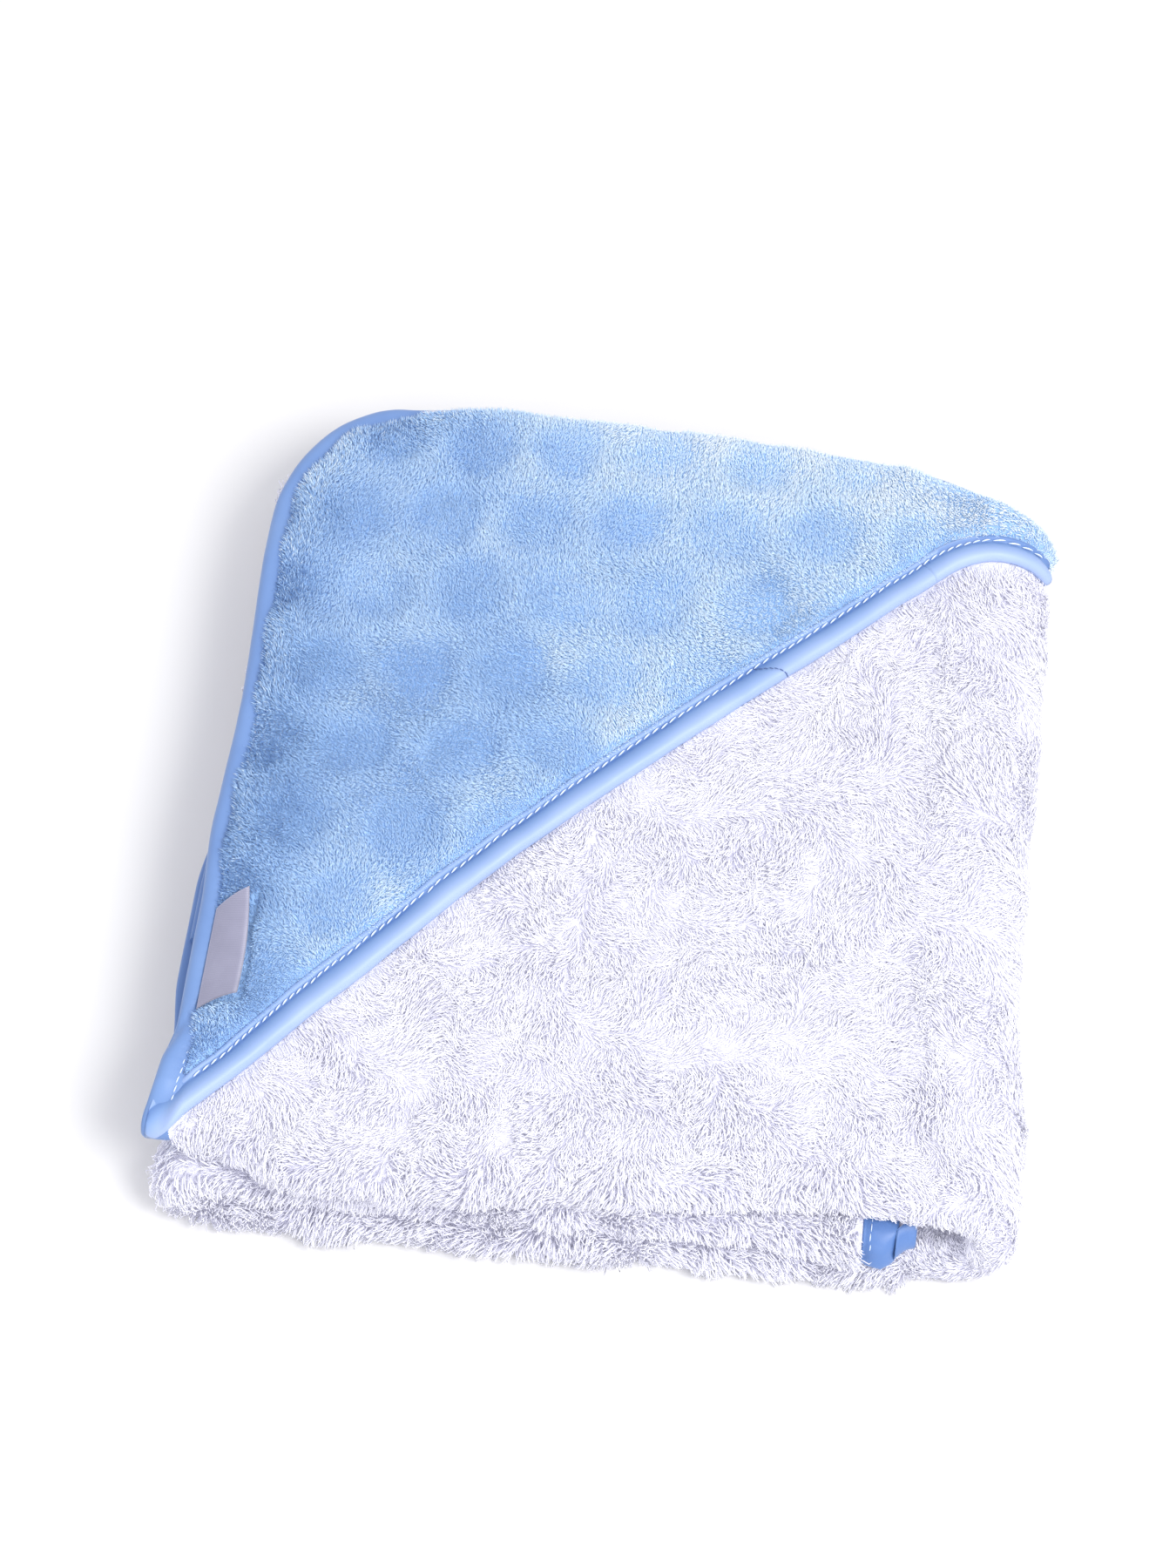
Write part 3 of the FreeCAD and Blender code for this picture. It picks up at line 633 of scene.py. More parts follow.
# ------------------------------------------------------------- terry cloth sheet
def build_terry_sheet():
    """The whole folded cloth as one slab, bound edges drawn in under their tape."""
    quarter = np.linspace(0, 1, 22) * math.pi / 2
    stations = np.concatenate([
        CORNER_R * (1 - np.cos(quarter)), np.linspace(CORNER_R, A_RIGHT, 76)[1:],
        np.linspace(A_RIGHT, A_BOTTOM, 30)[1:], np.linspace(A_BOTTOM, A_LEFT, 46)[1:],
        np.linspace(A_LEFT, A_TUCKED, 14)[1:], np.linspace(A_TUCKED, A_END, 44)[1:]])
    axis_y = roll_y(stations)
    start = turn_start(stations)[:, None]
    turn_y = lower_back_y(stations) - TURN_R
    inner = turn_y - (front_y(stations) + FAR_EDGE - 1)
    roll_steps, under_steps, turn_steps, inner_steps = (
        np.linspace(0, 1, count)[1:] for count in (18, 52, 9, 24))
    along = np.concatenate([
        np.outer(axis_y - (back_y(stations) - 2.0), 1 - np.linspace(0, 1, 100)),
        np.outer(np.ones(len(stations)), ROLL * roll_steps),
        ROLL + np.outer(turn_y - axis_y, under_steps),
        start + TURN * turn_steps,
        start + TURN + np.outer(inner, inner_steps)], axis=1)
    across = np.maximum(np.repeat(stations[:, None], along.shape[1], 1), 2.0)
    across = np.where((across < 5.2) & (along < -4), 5.2, across)
    across = np.minimum(across, A_END - 7.0)
    verts = np.concatenate([place(across, along, sway(across, along)).reshape(-1, 3),
                            place(across, along, -SHEET).reshape(-1, 3)])
    verts[:, 2] = np.maximum(verts[:, 2], 0.02)
    piece = add_piece("terry_cloth", verts, slab_quads(*along.shape, turn_rim=True),
                      TERRY_GROUND,
                      replaced=["terry_top_section", "terry_bottom_section",
                                "terry_tucked_section", "terry_left_fold",
                                "terry_right_fold"])
    on_fold(piece, sheet_weight(np.tile(across.ravel(), 2), verts))


# ------------------------------------------------------------------ pile strands
def add_strands(name, path, radii, ring_tips, look, reference=None, attrs=None):
    """Closed tapered yarns: a triangular ring at each station of the path
    (stations, strands, 3) but the last, which is the point."""
    rings = len(path) - 1
    count = path.shape[1]
    size = rings * 3 + 1
    verts = np.empty((count, size, 3), np.float32)
    for k in range(rings):
        ahead = unit(path[k + 1] - path[max(k - 1, 0)])
        if reference is None:
            guide = np.stack([ahead[:, 1] + 0.3, -ahead[:, 0], 0.2 * ahead[:, 2] + 0.1], -1)
        else:
            guide = reference
        side = unit(np.cross(ahead, guide))
        up = np.cross(ahead, side)
        for j in range(3):
            angle = 2 * math.pi * j / 3
            verts[:, k * 3 + j] = path[k] + ((side * math.cos(angle) + up * math.sin(angle))
                                             * radii[k][:, None])
    verts[:, -1] = path[-1]
    last, point = size - 4, size - 1
    caps = [[0, 2, 1], [last, last + 1, point], [last + 1, last + 2, point],
            [last + 2, last, point]]
    tip = np.tile(np.append(np.repeat(ring_tips, 3), 1.0), count)
    return add_piece(name, verts.reshape(-1, 3),
                     copies(grid_quads(rings, 3, closed=True)[:, TURNED], count, size), look,
                     copies(caps, count, size), attrs={"tip": tip, **(attrs or {})})


def jittered_grid(first_range, second_range, density, random):
    """Roots on a jittered grid; density is per square mm."""
    step = 1 / math.sqrt(density)
    first, second = np.meshgrid(np.arange(*first_range, step), np.arange(*second_range, step),
                                indexing="ij")
    first = first.ravel() + random.rand(first.size) * step
    second = second.ravel() + random.rand(second.size) * step
    return first, second


def clump_centres(first, second, size, seed):
    """Nearest jittered cell centre for each root, and its distance, for the tufts."""
    jitter = np.random.RandomState(seed).rand(2, 97, 97)
    cell_i = np.floor(first / size).astype(int)
    cell_j = np.floor(second / size).astype(int)
    best = np.full(first.shape, 1e9)
    best_first, best_second = first, second
    for di in (-1, 0, 1):
        for dj in (-1, 0, 1):
            i = cell_i + di
            j = cell_j + dj
            x = (i + 0.15 + 0.7 * jitter[0][i % 97, j % 97]) * size
            y = (j + 0.15 + 0.7 * jitter[1][i % 97, j % 97]) * size
            distance = (x - first) ** 2 + (y - second) ** 2
            nearer = distance < best
            best = np.where(nearer, distance, best)
            best_first = np.where(nearer, x, best_first)
            best_second = np.where(nearer, y, best_second)
    return best_first, best_second, np.sqrt(best)


# -------------------------------------------------------------- hood mouth line
# outer edge of the mouth tape: (x, y) from the front tip to the right fold
MOUTH = np.array([
    (-140.0, -146.5), (-129.0, -134.5), (-126.0, -130.0), (-95.0, -92.8), (-75.5, -71.8),
    (-41.4, -34.1), (-5.1, 0.8), (29.6, 31.1), (51.6, 50.8), (70.2, 67.0), (86.7, 82.2),
    (103.5, 96.6), (110.5, 100.3), (117.0, 101.8), (125.0, 101.8), (134.0, 102.5),
    (150.0, 103.0)]).T
MOUTH_X = np.arange(-140.0, 150.0, 1.0)
MOUTH_Y = smoothed(np.interp(MOUTH_X, *MOUTH), 5.0, 15, mode="reflect", reflect_type="odd")
MOUTH_SLOPE = np.gradient(MOUTH_Y, MOUTH_X)


def mouth_y(x):
    return np.interp(x, MOUTH_X, MOUTH_Y)


def mouth_normal(x):
    """Unit vector pointing from the mouth line into the hood."""
    slope = np.interp(x, MOUTH_X, MOUTH_SLOPE)
    scale = 1 / np.sqrt(1 + slope * slope)
    return -slope * scale, scale


def mouth_dist(x, y):
    """Distance inside the hood from the outer edge of its mouth tape."""
    foot = x - 0.35 * np.clip(y - mouth_y(x), 0, 25)
    return (y - mouth_y(x)) * mouth_normal(foot)[1]


def hood_depth(across, along):
    return mouth_dist(*flat_xy(across, along))


# -------------------------------------------------------------------- terry pile
CURL = 0.6            # random spread of the lie, radians
CLUMP = 4.2           # tuft spacing
PULL = 0.45           # how far yarns gather into tufts
STRAND_LIMIT = 12000  # most yarns in one object


def nap(across, along):
    """Direction the pile lies in."""
    return layered(across, along, (2.4, 52, 601), (1.6, 19, 611), (1.3, 8, 621)) + 1.2


def cloth_axes(across, along):
    step = 0.4
    first = unit(place(across + step, along) - place(across - step, along))
    second = unit(place(across, along + step) - place(across, along - step))
    normal = unit(place(across, along, 1.0) - place(across, along))
    return first, second, normal


def terry_pile(name, across, along, length, lift, radius, body, seed, lean=1.0, droop=0.0,
               shun=False):
    """Looped pile on the cloth's outer side. With no body it bends with the fold;
    shun turns it away from the hood's mouth tape."""
    random = np.random.RandomState(seed)
    count = len(across)
    axes = cloth_axes(across, along)
    base = place(across, along, sway(across, along) - 0.4)
    angle = nap(across, along) + random.randn(count) * CURL
    reach = length * (0.6 + 0.8 * random.rand(count))
    reach = reach * (1 + 0.2 * vnoise(across, along, 11, seed + 4))
    height = lift * (0.6 + 0.8 * random.rand(count))
    height = height * (1 + 0.4 * vnoise(across, along, 10, seed + 5))
    first = np.cos(angle) * reach * lean
    second = np.sin(angle) * reach * lean
    tuft_across, tuft_along, tuft_dist = clump_centres(across, along, CLUMP, seed + 6)
    angle = nap(tuft_across, tuft_along)
    to_first = (tuft_across - across) + np.cos(angle) * length * lean
    to_second = (tuft_along - along) + np.sin(angle) * length * lean
    first = first * (1 - PULL) + to_first * PULL
    second = second * (1 - PULL) + to_second * PULL
    height = height * (1 + 0.45 * PULL * (1 - clamp01(tuft_dist / CLUMP * 1.4)))
    if shun:
        x, y = flat_xy(across, along)
        near = 0.8 * clamp01((mouth_dist(x, y) + 5.5) / 5.5)
        normal_x, normal_y = mouth_normal(x)
        first = first * (1 - near) - near * normal_x * reach * 0.9
        second = second * (1 - near) + near * normal_y * reach * 0.9
        height = height * (1 - 0.35 * near)
    # beside the left tape the pile lies inwards
    rim = clamp01((26 - across) / 10)
    first = first * (1 - rim) + np.abs(first) * rim
    wobble = random.randn(count, 2) * 0.7

    def station(run, rise, stray):
        steps = (first * run + wobble[:, 0] * stray, second * run + wobble[:, 1] * stray,
                 height * rise)
        return base + sum(axis * step[:, None] for axis, step in zip(axes, steps))

    radius = radius * (0.75 + 0.5 * random.rand(count))
    path = np.stack([station(0.0, 0.0, 0.0), station(0.28, 0.66, 0.6),
                     station(0.70, 1.0, 1.0), station(1.0, 0.80, 0.6)])
    path[3, :, 2] -= droop * reach
    path[2, :, 2] -= droop * 0.4 * reach
    path[..., 2] = np.maximum(path[..., 2], 0.3)
    if body is None:
        weights = sheet_weight(across, place(across, along))
    order = np.argsort(across, kind="stable")
    parts = max(1, math.ceil(count / STRAND_LIMIT))
    for k, chosen in enumerate(np.array_split(order, parts)):
        part, thick = path[:, chosen], radius[chosen]
        spine = part[3] - part[0]
        reference = np.stack([spine[:, 1], -spine[:, 0], spine[:, 2] * 0.3 + 1e-3], -1)
        piece = add_strands("%s_%d" % (name, k + 1), part, [thick, thick * 1.05, thick * 0.9],
                            [0, 0.5, 0.9], TERRY_PILE, reference)
        if body is None:
            on_fold(piece, weights[chosen])
        else:
            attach(piece, body)


def pile_patch(tag, across_range, along_range, density, seed, body, length, lift, radius,
               keep=None, trim=None, on_turn=False, **lie):
    """Scatters pile over a patch; keep picks roots, trim shortens them."""
    across, along = jittered_grid(across_range, along_range, density * (1.0),
                                  np.random.RandomState(seed))
    if on_turn:
        along = along + turn_start(across)
    if keep:
        kept = keep(across, along)
        across, along = across[kept], along[kept]
    if trim:
        share = trim(across, along)
        length, lift = length * share, lift * share
    terry_pile("terry_pile_" + tag, across, along, length, lift, radius, body, seed + 10,
               **lie)


def before_back(across, along, margin):
    return roll_y(across) - along < back_y(across) - margin


def before_turn(across, along):
    return along < turn_start(across) - 1


def keep_top(across, along):
    return (hood_depth(across, along) < 0.8) & before_back(across, along, 9)


def keep_top_roll(across, along):
    depth = hood_depth(across, along)
    kept = (depth < 0.2) | (along > 12)
    kept &= ~((across < 24) & (depth > -1.0)) | (along > 20)
    return kept & (across > 9.6)


def trim_top_roll(across, along):
    """Shorter pile by the hood's front tip."""
    near = clamp01((hood_depth(across, along) + 5.5) / 3.0)
    return 1 - 0.5 * ((across < 24) & (along < 20)) * near


def keep_under_hood(across, along):
    return (hood_depth(across, along) >= 5.0) & before_back(across, along, 12)


def keep_right_fold(across, along):
    clear = (hood_depth(across, along) < 0.6) | (EDGE_X + across > 135.5)
    return clear & before_back(across, along, 4)


def keep_lower(across, along):
    return before_back(across, along, 10)


def build_terry_pile():
    top, bottom = "top_section", "bottom_section"
    underside = (ROLL + 6, ROLL + 252)
    # tag, across range, along range, density, seed, body, length, lift, radius
    pile_patch("top", (9, A_BEND), (-285, 0), 2.1, 100, top, 5.0, 1.35, 0.19,
               keep=keep_top, shun=True)
    pile_patch("top_roll", (9, A_BEND), (0, ROLL + 6), 1.7, 120, top, 5.2, 2.4, 0.20,
               keep=keep_top_roll, trim=trim_top_roll, lean=0.85, droop=0.2)
    pile_patch("under_hood", (14, A_BEND), (-292, -10), 0.14, 140, top, 6.0, 0.4, 0.30,
               keep=keep_under_hood)
    # seen when the top section is opened
    pile_patch("top_underside", (9.5, A_BEND), underside, 0.42, 160, top, 6.0, 1.3, 0.31,
               keep=before_turn)
    pile_patch("fold_inside", (A_BEND, A_BOTTOM + 12), underside, 0.30, 165, None,
               6.0, 1.2, 0.31, keep=before_turn)
    pile_patch("right_fold", (A_BEND, A_BOTTOM + 12), (-262, ROLL + 5), 2.0, 180, None,
               5.0, 1.5, 0.19, keep=keep_right_fold, shun=True)
    pile_patch("bottom_roll", (A_BOTTOM + 12, A_LEFT), (-9, ROLL + 4), 1.6, 200, bottom,
               5.6, 4.0, 0.22, lean=0.8)
    pile_patch("left_fold", (A_LEFT - 8, A_TUCKED + 4), (-258, ROLL + 2), 1.0, 220, bottom,
               5.4, 3.0, 0.24, keep=keep_lower)
    pile_patch("tucked_roll", (A_TUCKED + 4, A_END - 14.6), (-3, ROLL), 1.5, 240, bottom,
               5.0, 3.4, 0.22, lean=0.7)
    pile_patch("tucked_top", (A_TUCKED + 4, A_END - 14), (-258, -3), 0.42, 260, bottom,
               6.0, 1.2, 0.31, keep=keep_lower)
    # hidden turns at the back
    for tag, start, end, body in (("top", 16, A_BEND, top),
                                  ("bottom", A_BOTTOM + 10, A_LEFT, bottom),
                                  ("tucked", A_TUCKED, A_END - 15, bottom)):
        pile_patch("back_" + tag, (start, end), (0, TURN), 0.9, 280 + int(start), body,
                   4.6, 2.2, 0.26, on_turn=True)


# ------------------------------------------------------------ satin tape, stitches
# closed tape sections: (inwards from the tape's outer edge, height above the cloth)
MOUTH_SECTION = np.array([
    (0.0, 0.8), (0.1, 1.8), (0.55, 2.9), (1.5, 3.7), (2.7, 4.0), (4.1, 3.85), (5.6, 3.4),
    (6.9, 2.8), (7.8, 2.3), (8.3, 2.15), (8.8, 2.5), (9.4, 3.15), (10.1, 3.3), (10.8, 3.0),
    (11.1, 2.0), (10.5, 0.8), (8.0, 0.25), (5.0, 0.2), (2.0, 0.2), (0.5, 0.3)])
MOUTH_GROOVE = 8.45     # stitched groove, inwards from the tape's outer edge
LEG_SECTION = np.array([
    (10.2, 0.2), (10.2, 1.2), (9.7, 1.8), (9.0, 2.0), (8.3, 1.8), (7.7, 1.65), (7.1, 2.0),
    (6.0, 2.6), (4.6, 3.0), (3.0, 3.0), (1.7, 2.5), (0.7, 1.6), (0.1, 0.3), (0.0, -1.2),
    (0.2, -3.0), (0.8, -4.4), (2.2, -5.0), (5.0, -5.0), (8.6, -4.75), (9.6, -4.5),
    (10.2, -2.0)])
BACK_SECTION = np.array([
    (5.0, 0.1), (5.0, 0.7), (4.5, 1.0), (3.7, 1.0), (3.0, 0.85), (2.4, 0.6), (1.8, 0.3),
    (1.2, -0.1), (0.7, -0.6), (0.35, -1.1), (0.1, -1.7), (0.0, -2.4), (0.0, -3.1),
    (0.2, -3.9), (0.8, -4.6), (2.2, -5.0), (5.0, -5.0), (8.6, -4.8), (9.4, -4.5),
    (9.4, -3.4), (7.0, -1.2)])
FLAT_SECTION = np.array([
    (12.0, -0.1), (12.0, 0.22), (11.3, 0.3), (10.9, 0.12), (10.4, 0.32), (8.0, 0.4),
    (5.0, 0.42), (2.4, 0.4), (1.0, 0.1), (0.3, -0.7), (0.0, -1.8), (0.0, -2.6),
    (0.3, -3.6), (1.0, -4.3), (2.4, -4.6), (6.0, -4.65), (11.5, -4.6), (12.0, -4.45),
    (12.0, -2.2)])


def resampled(section, count=21):
    """Equally spaced points, so that one section can turn into another."""
    loop = np.concatenate([section, section[:1]])
    distance = arc_length(*loop.T)
    steps = np.linspace(0, distance[-1], count + 1)[:-1]
    return np.stack([np.interp(steps, distance, loop[:, i]) for i in (0, 1)], -1)


def pucker(distance, amount, pitch, offset, width):
    """Ripple drawn up by the stitches, strongest at the stitch line."""
    return amount * np.sin(distance * 2 * math.pi / pitch)[:, None] * bell(offset, width)


def add_tape(name, rings, shade=0.22, replaced=()):
    """Closed tape through rings of points; returns it and its vertices, the last
    two of which are the centres of the end caps."""
    count, size = rings.shape[:2]
    verts = np.concatenate([rings.reshape(-1, 3), [rings[0].mean(0), rings[-1].mean(0)]])
    j = np.arange(size)
    after = (j + 1) % size
    first_cap = np.stack([np.full(size, count * size), j, after], -1)
    last = (count - 1) * size
    last_cap = np.stack([np.full(size, count * size + 1), last + after, last + j], -1)
    shade = clamp01(np.broadcast_to(shade, (count, size)).ravel())
    quads = grid_quads(count, size, closed=True)
    piece = add_piece(name, verts, quads, SATIN, np.concatenate([first_cap, last_cap]),
                      attrs={"shade": np.append(shade, [0.5, 0.5])}, replaced=replaced)
    # the end faces are flat so that they do not darken the last ring
    flags = np.ones(len(piece.data.polygons), bool)
    flags[len(quads):] = False
    piece.data.polygons.foreach_set("use_smooth", flags)
    return piece, verts


def flat_tape_rings(across, along, side, seed):
    """Rings of the flat section along a line, with "along" and inward distance of
    each point; side is the inward direction in cloth coordinates."""
    inward, height = (np.repeat(FLAT_SECTION[None, :, i], len(across), 0) for i in (0, 1))
    distance = arc_length(across, along)
    ripple = (pucker(distance, 0.05, 3.1, inward - 9, 3.5)
              + layered(distance[:, None], inward * 2, (0.25, 14, seed), (0.12, 5, seed + 1)))
    height = height + np.where(height > 0.3, ripple, 0)
    tape_along = along[:, None] + side[1] * inward
    rings = place(across[:, None] + side[0] * inward, tape_along, height)
    rings[..., 2] = np.maximum(rings[..., 2], 0.05)
    return rings, tape_along, inward


STITCH_POINTS = 5
STITCH_SIDES = 6


def stitch_lines(across, along, side, height, seed, pitch=3.0, length=2.35, rise=0.32,
                 jitter=0.12, slant=0.12):
    """Stitch centre lines along a path, and the cloth coordinates of each middle."""
    random = np.random.RandomState(seed)
    distance = arc_length(across, along)
    side_across, side_along, height = (np.broadcast_to(value, distance.shape)
                                       for value in (*side, height))
    lines, middles = [], []
    for start in np.arange(1.0, distance[-1] - pitch, pitch):
        steps = start + np.linspace(0, length, STITCH_POINTS)
        offset = random.randn() * jitter + np.linspace(-slant, slant, STITCH_POINTS)
        lift = (np.interp(steps, distance, height)
                + rise * np.sin(np.linspace(0.12, 0.88, STITCH_POINTS) * math.pi)
                + random.randn() * 0.03)
        first = (np.interp(steps, distance, across)
                 + np.interp(steps, distance, side_across) * offset)
        second = (np.interp(steps, distance, along)
                  + np.interp(steps, distance, side_along) * offset)
        lines.append(place(first, second, lift))
        middles.append([first[2], second[2]])
    return np.array(lines), np.array(middles)


def add_stitches(name, lines, radius, look=THREAD, replaced=()):
    """Stitches as six-sided spindles with closed ends."""
    count, points, sides = len(lines), STITCH_POINTS, STITCH_SIDES
    profile = np.sqrt(np.clip(1 - np.linspace(-0.92, 0.92, points) ** 2, 0.05, 1))
    size = points * sides + 2
    verts = np.empty((count, size, 3), np.float32)
    for k in range(points):
        ahead = unit(lines[:, min(k + 1, points - 1)] - lines[:, max(k - 1, 0)])
        side = unit(np.cross(ahead, np.array([0, 0, 1.0])))
        up = np.cross(side, ahead)
        for j in range(sides):
            angle = 2 * math.pi * j / sides
            verts[:, k * sides + j] = lines[:, k] + (
                (side * math.cos(angle) + up * math.sin(angle)) * radius * profile[k])
    verts[:, -2] = lines[:, 0] - (lines[:, 1] - lines[:, 0]) * 0.15
    verts[:, -1] = lines[:, -1] + (lines[:, -1] - lines[:, -2]) * 0.15
    caps = []
    last = (points - 1) * sides
    for j in range(sides):
        after = (j + 1) % sides
        caps.append([size - 2, after, j])
        caps.append([size - 1, last + j, last + after])
    quads = grid_quads(points, sides, closed=True)[:, TURNED]
    return add_piece(name, verts.reshape(-1, 3), copies(quads, count, size), look,
                     copies(caps, count, size), replaced=replaced)


# --------------------------------------------------------------------- edge tapes
def leg_tape_line():
    """Line of the top section's edge tape: hidden sheets, front turn, left leg,
    rounded corner, back leg and right fold, with its inward direction."""
    start = turn_start(0.0)
    left = np.concatenate([
        np.arange(far_along(0.0, FAR_EDGE), start + TURN, -3.0),
        np.linspace(start + TURN, start, 10)[:-1],
        np.arange(start, ROLL + 1.5, -3.0),
        np.linspace(ROLL, 0, 22)[:-1],
        np.arange(0, -(CORNER_Y - roll_y(0.0)), -1.1)])
    angle = np.linspace(math.pi, math.pi / 2 + 0.02, 52)
    corner = CORNER_R + CORNER_R * np.cos(angle)
    y = CORNER_Y + CORNER_R * np.sin(angle)
    # ease from the arc into the back edge
    ease = smoothstep(CORNER_R - 22, CORNER_R, corner)
    y = y * (1 - ease) + straight_back_y(corner) * ease
    back = np.concatenate([np.arange(CORNER_R + 1.0, A_RIGHT - 2, 1.3),
                           np.linspace(A_RIGHT - 2, A_BOTTOM + 2, 40)])
    across = np.concatenate([np.zeros_like(left), corner, back])
    along = np.concatenate([left, roll_y(corner) - y, roll_y(back) - back_y(back)])
    side_across = np.concatenate([np.ones_like(left), -np.cos(angle), np.zeros_like(back)])
    side_along = np.concatenate([np.zeros_like(left), np.sin(angle), np.ones_like(back)])
    return across, along, side_across, side_along


def build_leg_tape():
    across, along, side_across, side_along = leg_tape_line()
    y = roll_y(across) - along
    # shares of the leg and back sections; the rest is flat
    leg = np.where(across > 1, 1.0, smoothstep(0, 9, -along))
    back = smoothstep(26, 66, across)
    shares = (1 - leg, leg * (1 - back), leg * back)
    sections = (resampled(FLAT_SECTION) * np.array([0.84, 1.0]), resampled(LEG_SECTION),
                resampled(BACK_SECTION))
    section = sum(points[None] * share[:, None, None]
                  for points, share in zip(sections, shares))
    # the hidden sheets' tape peeps out beyond the outer one for a stretch
    on_leg = (across < 1) & (along < 0)
    inset = 2.3 * (smoothstep(-108, -94, y) - smoothstep(-52, -18, y)) * on_leg
    lower_y = roll_y(0.0) + (along - ROLL)
    peep = 2.3 * (smoothstep(-98, -74, lower_y) - smoothstep(-40, -14, lower_y))
    peep = peep * ((across < 1) & (along > ROLL) & (along < turn_start(0.0)))
    inward = section[:, :, 0] + inset[:, None] - peep[:, None]
    height = section[:, :, 1]
    distance = arc_length(across, along)
    # slanting crease and swelling near the front of the left leg
    crease = bell(y[:, None] + 97 - (inward - 4) * 1.7, 2.6) * on_leg[:, None]
    puff = bell(y[:, None] + 107 - (inward - 4) * 1.2, 7.0) * on_leg[:, None]
    ripple = (pucker(distance, 0.10, 3.1, inward - 7.7, 2.2)
              + layered(distance[:, None], inward * 2, (0.30, 17, 61), (0.10, 5, 62))
              - 1.3 * crease + 0.5 * puff)
    ripple = ripple * (leg + 0.15 * (1 - leg))[:, None]
    height = height + np.where(height > 0.3, ripple, 0)
    tape_across = across[:, None] + side_across[:, None] * inward
    rings = place(tape_across, along[:, None] + side_along[:, None] * inward, height)
    rings[..., 2] = np.maximum(rings[..., 2], 0.05)
    cut = int(np.argmax(across >= A_BEND))
    # painted shade: the tape darkens as it goes round the front roll and under it
    shade = 0.22 * (1 - smoothstep(1.0, ROLL, along))[:cut + 1, None]
    piece, _ = add_tape("edge_tape_top_section", rings[:cut + 1], shade,
                        ["edge_binding_hood_legs", "edge_binding_left_lower_sheets"])
    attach(piece, "top_section")
    piece, verts = add_tape("edge_tape_right_fold", rings[cut:],
                            replaced=["edge_binding_right_fold"])
    ends = [across[cut], across[-1]]
    on_fold(piece, sheet_weight(np.append(tape_across[cut:].ravel(), ends), verts))
    # topstitch along the tape's inner lip
    sewn = (along < 9.0) & (across < A_BEND)
    seam = 7.7 * (1 - back[sewn]) + 3.6 * back[sewn] + inset[sewn]
    side = side_across[sewn], side_along[sewn]
    lines, _ = stitch_lines(across[sewn] + side[0] * seam, along[sewn] + side[1] * seam, side,
                            np.where(back[sewn] > 0.5, 0.95, 0.35 + 1.4 * leg[sewn]),
                            seed=3, length=2.3)
    piece = add_stitches("edge_topstitch_top_section", lines, 0.24,
                         replaced=["edge_topstitch_hood_legs"])
    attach(piece, "top_section")


def build_lower_back_tape():
    across = np.concatenate([np.arange(A_BOTTOM + 2, A_LEFT, 3.0),
                             np.linspace(A_LEFT, A_TUCKED, 16)[:-1],
                             np.arange(A_TUCKED, A_END - 1, 3.0)])
    rings, _, _ = flat_tape_rings(across, roll_y(across) - back_y(across), (0, 1), seed=70)
    piece, _ = add_tape("edge_tape_lower_back", rings, replaced=["edge_binding_back_lower"])
    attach(piece, "bottom_section")


def build_tucked_tape():
    """The tucked section's bound end, through all its folds."""
    start = turn_start(A_END)
    along = np.concatenate([
        np.arange(roll_y(A_END) - straight_back_y(A_END) + 12.5, 0, 2.5),
        np.linspace(0, ROLL, 26)[:-1],
        np.arange(ROLL, start, 3.0),
        np.linspace(start, start + TURN, 10)[:-1],
        np.arange(start + TURN, far_along(A_END, FAR_EDGE), 3.0)])
    across = np.full_like(along, A_END - 0.2)
    rings, tape_along, inward = flat_tape_rings(across, along, (-1, 0), seed=80)
    front = clamp01(tape_along / 5.0) * clamp01((ROLL - tape_along) / 5.0)
    rings[..., 1] += front * (3.0 * clamp01((5.0 - inward) / 5.0) ** 1.6
                              - 0.9 * bell(inward - 6.0, 3.0))
    rings[..., 1] -= (2.4 * smoothstep(ROLL * 0.40, ROLL * 0.72, tape_along)
                      * (1 - smoothstep(ROLL * 0.86, ROLL, tape_along)))
    # painted shade: the tucked end's tape gets the darkest satin, for the shade under the top roll
    piece, _ = add_tape("edge_tape_tucked_end", rings, 0.0, ["edge_binding_tucked_end"])
    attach(piece, "bottom_section")
    build_tucked_inner()
    sewn = (along > -60) & (along < ROLL + 20)
    lines, _ = stitch_lines(across[sewn] - 9.3, along[sewn], (-1.0, 0.0), 0.5, seed=6,
                            rise=0.2, slant=0.03)
    piece = add_stitches("edge_topstitch_tucked", lines, 0.17,
                         replaced=["edge_topstitch_tucked_end"])
    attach(piece, "bottom_section")


def build_tucked_inner():
    """The tape's open inner side, seen beyond its front edge."""
    rows, half = 24, 9
    along = np.linspace(1.0, ROLL * 0.80, rows)
    out = np.concatenate([np.linspace(0, 1, half), np.linspace(1, 0, half)])
    layer = np.repeat([0.0, 0.55], half)
    base = place(np.full(rows, A_END - 1.2), along, 0.2)
    bow = 1 - 0.45 * clamp01((along / ROLL - 0.45) / 0.35) ** 2
    verts = np.repeat(base[:, None, :], 2 * half, axis=1)
    verts[:, :, 0] += 6.2 * out[None] * bow[:, None]
    verts[:, :, 1] += 0.6 + layer[None] + 4.2 * np.sin(out * math.pi * 0.5)[None]
    verts[:, :, 2] = np.maximum(verts[:, :, 2], 0.3)
    # painted shade: the open inner side gets the darkest satin
    piece = add_piece("edge_tape_tucked_inner", verts.reshape(-1, 3),
                      grid_quads(rows, 2 * half, closed=True), SATIN, attrs={"shade": [0.0]})
    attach(piece, "bottom_section")


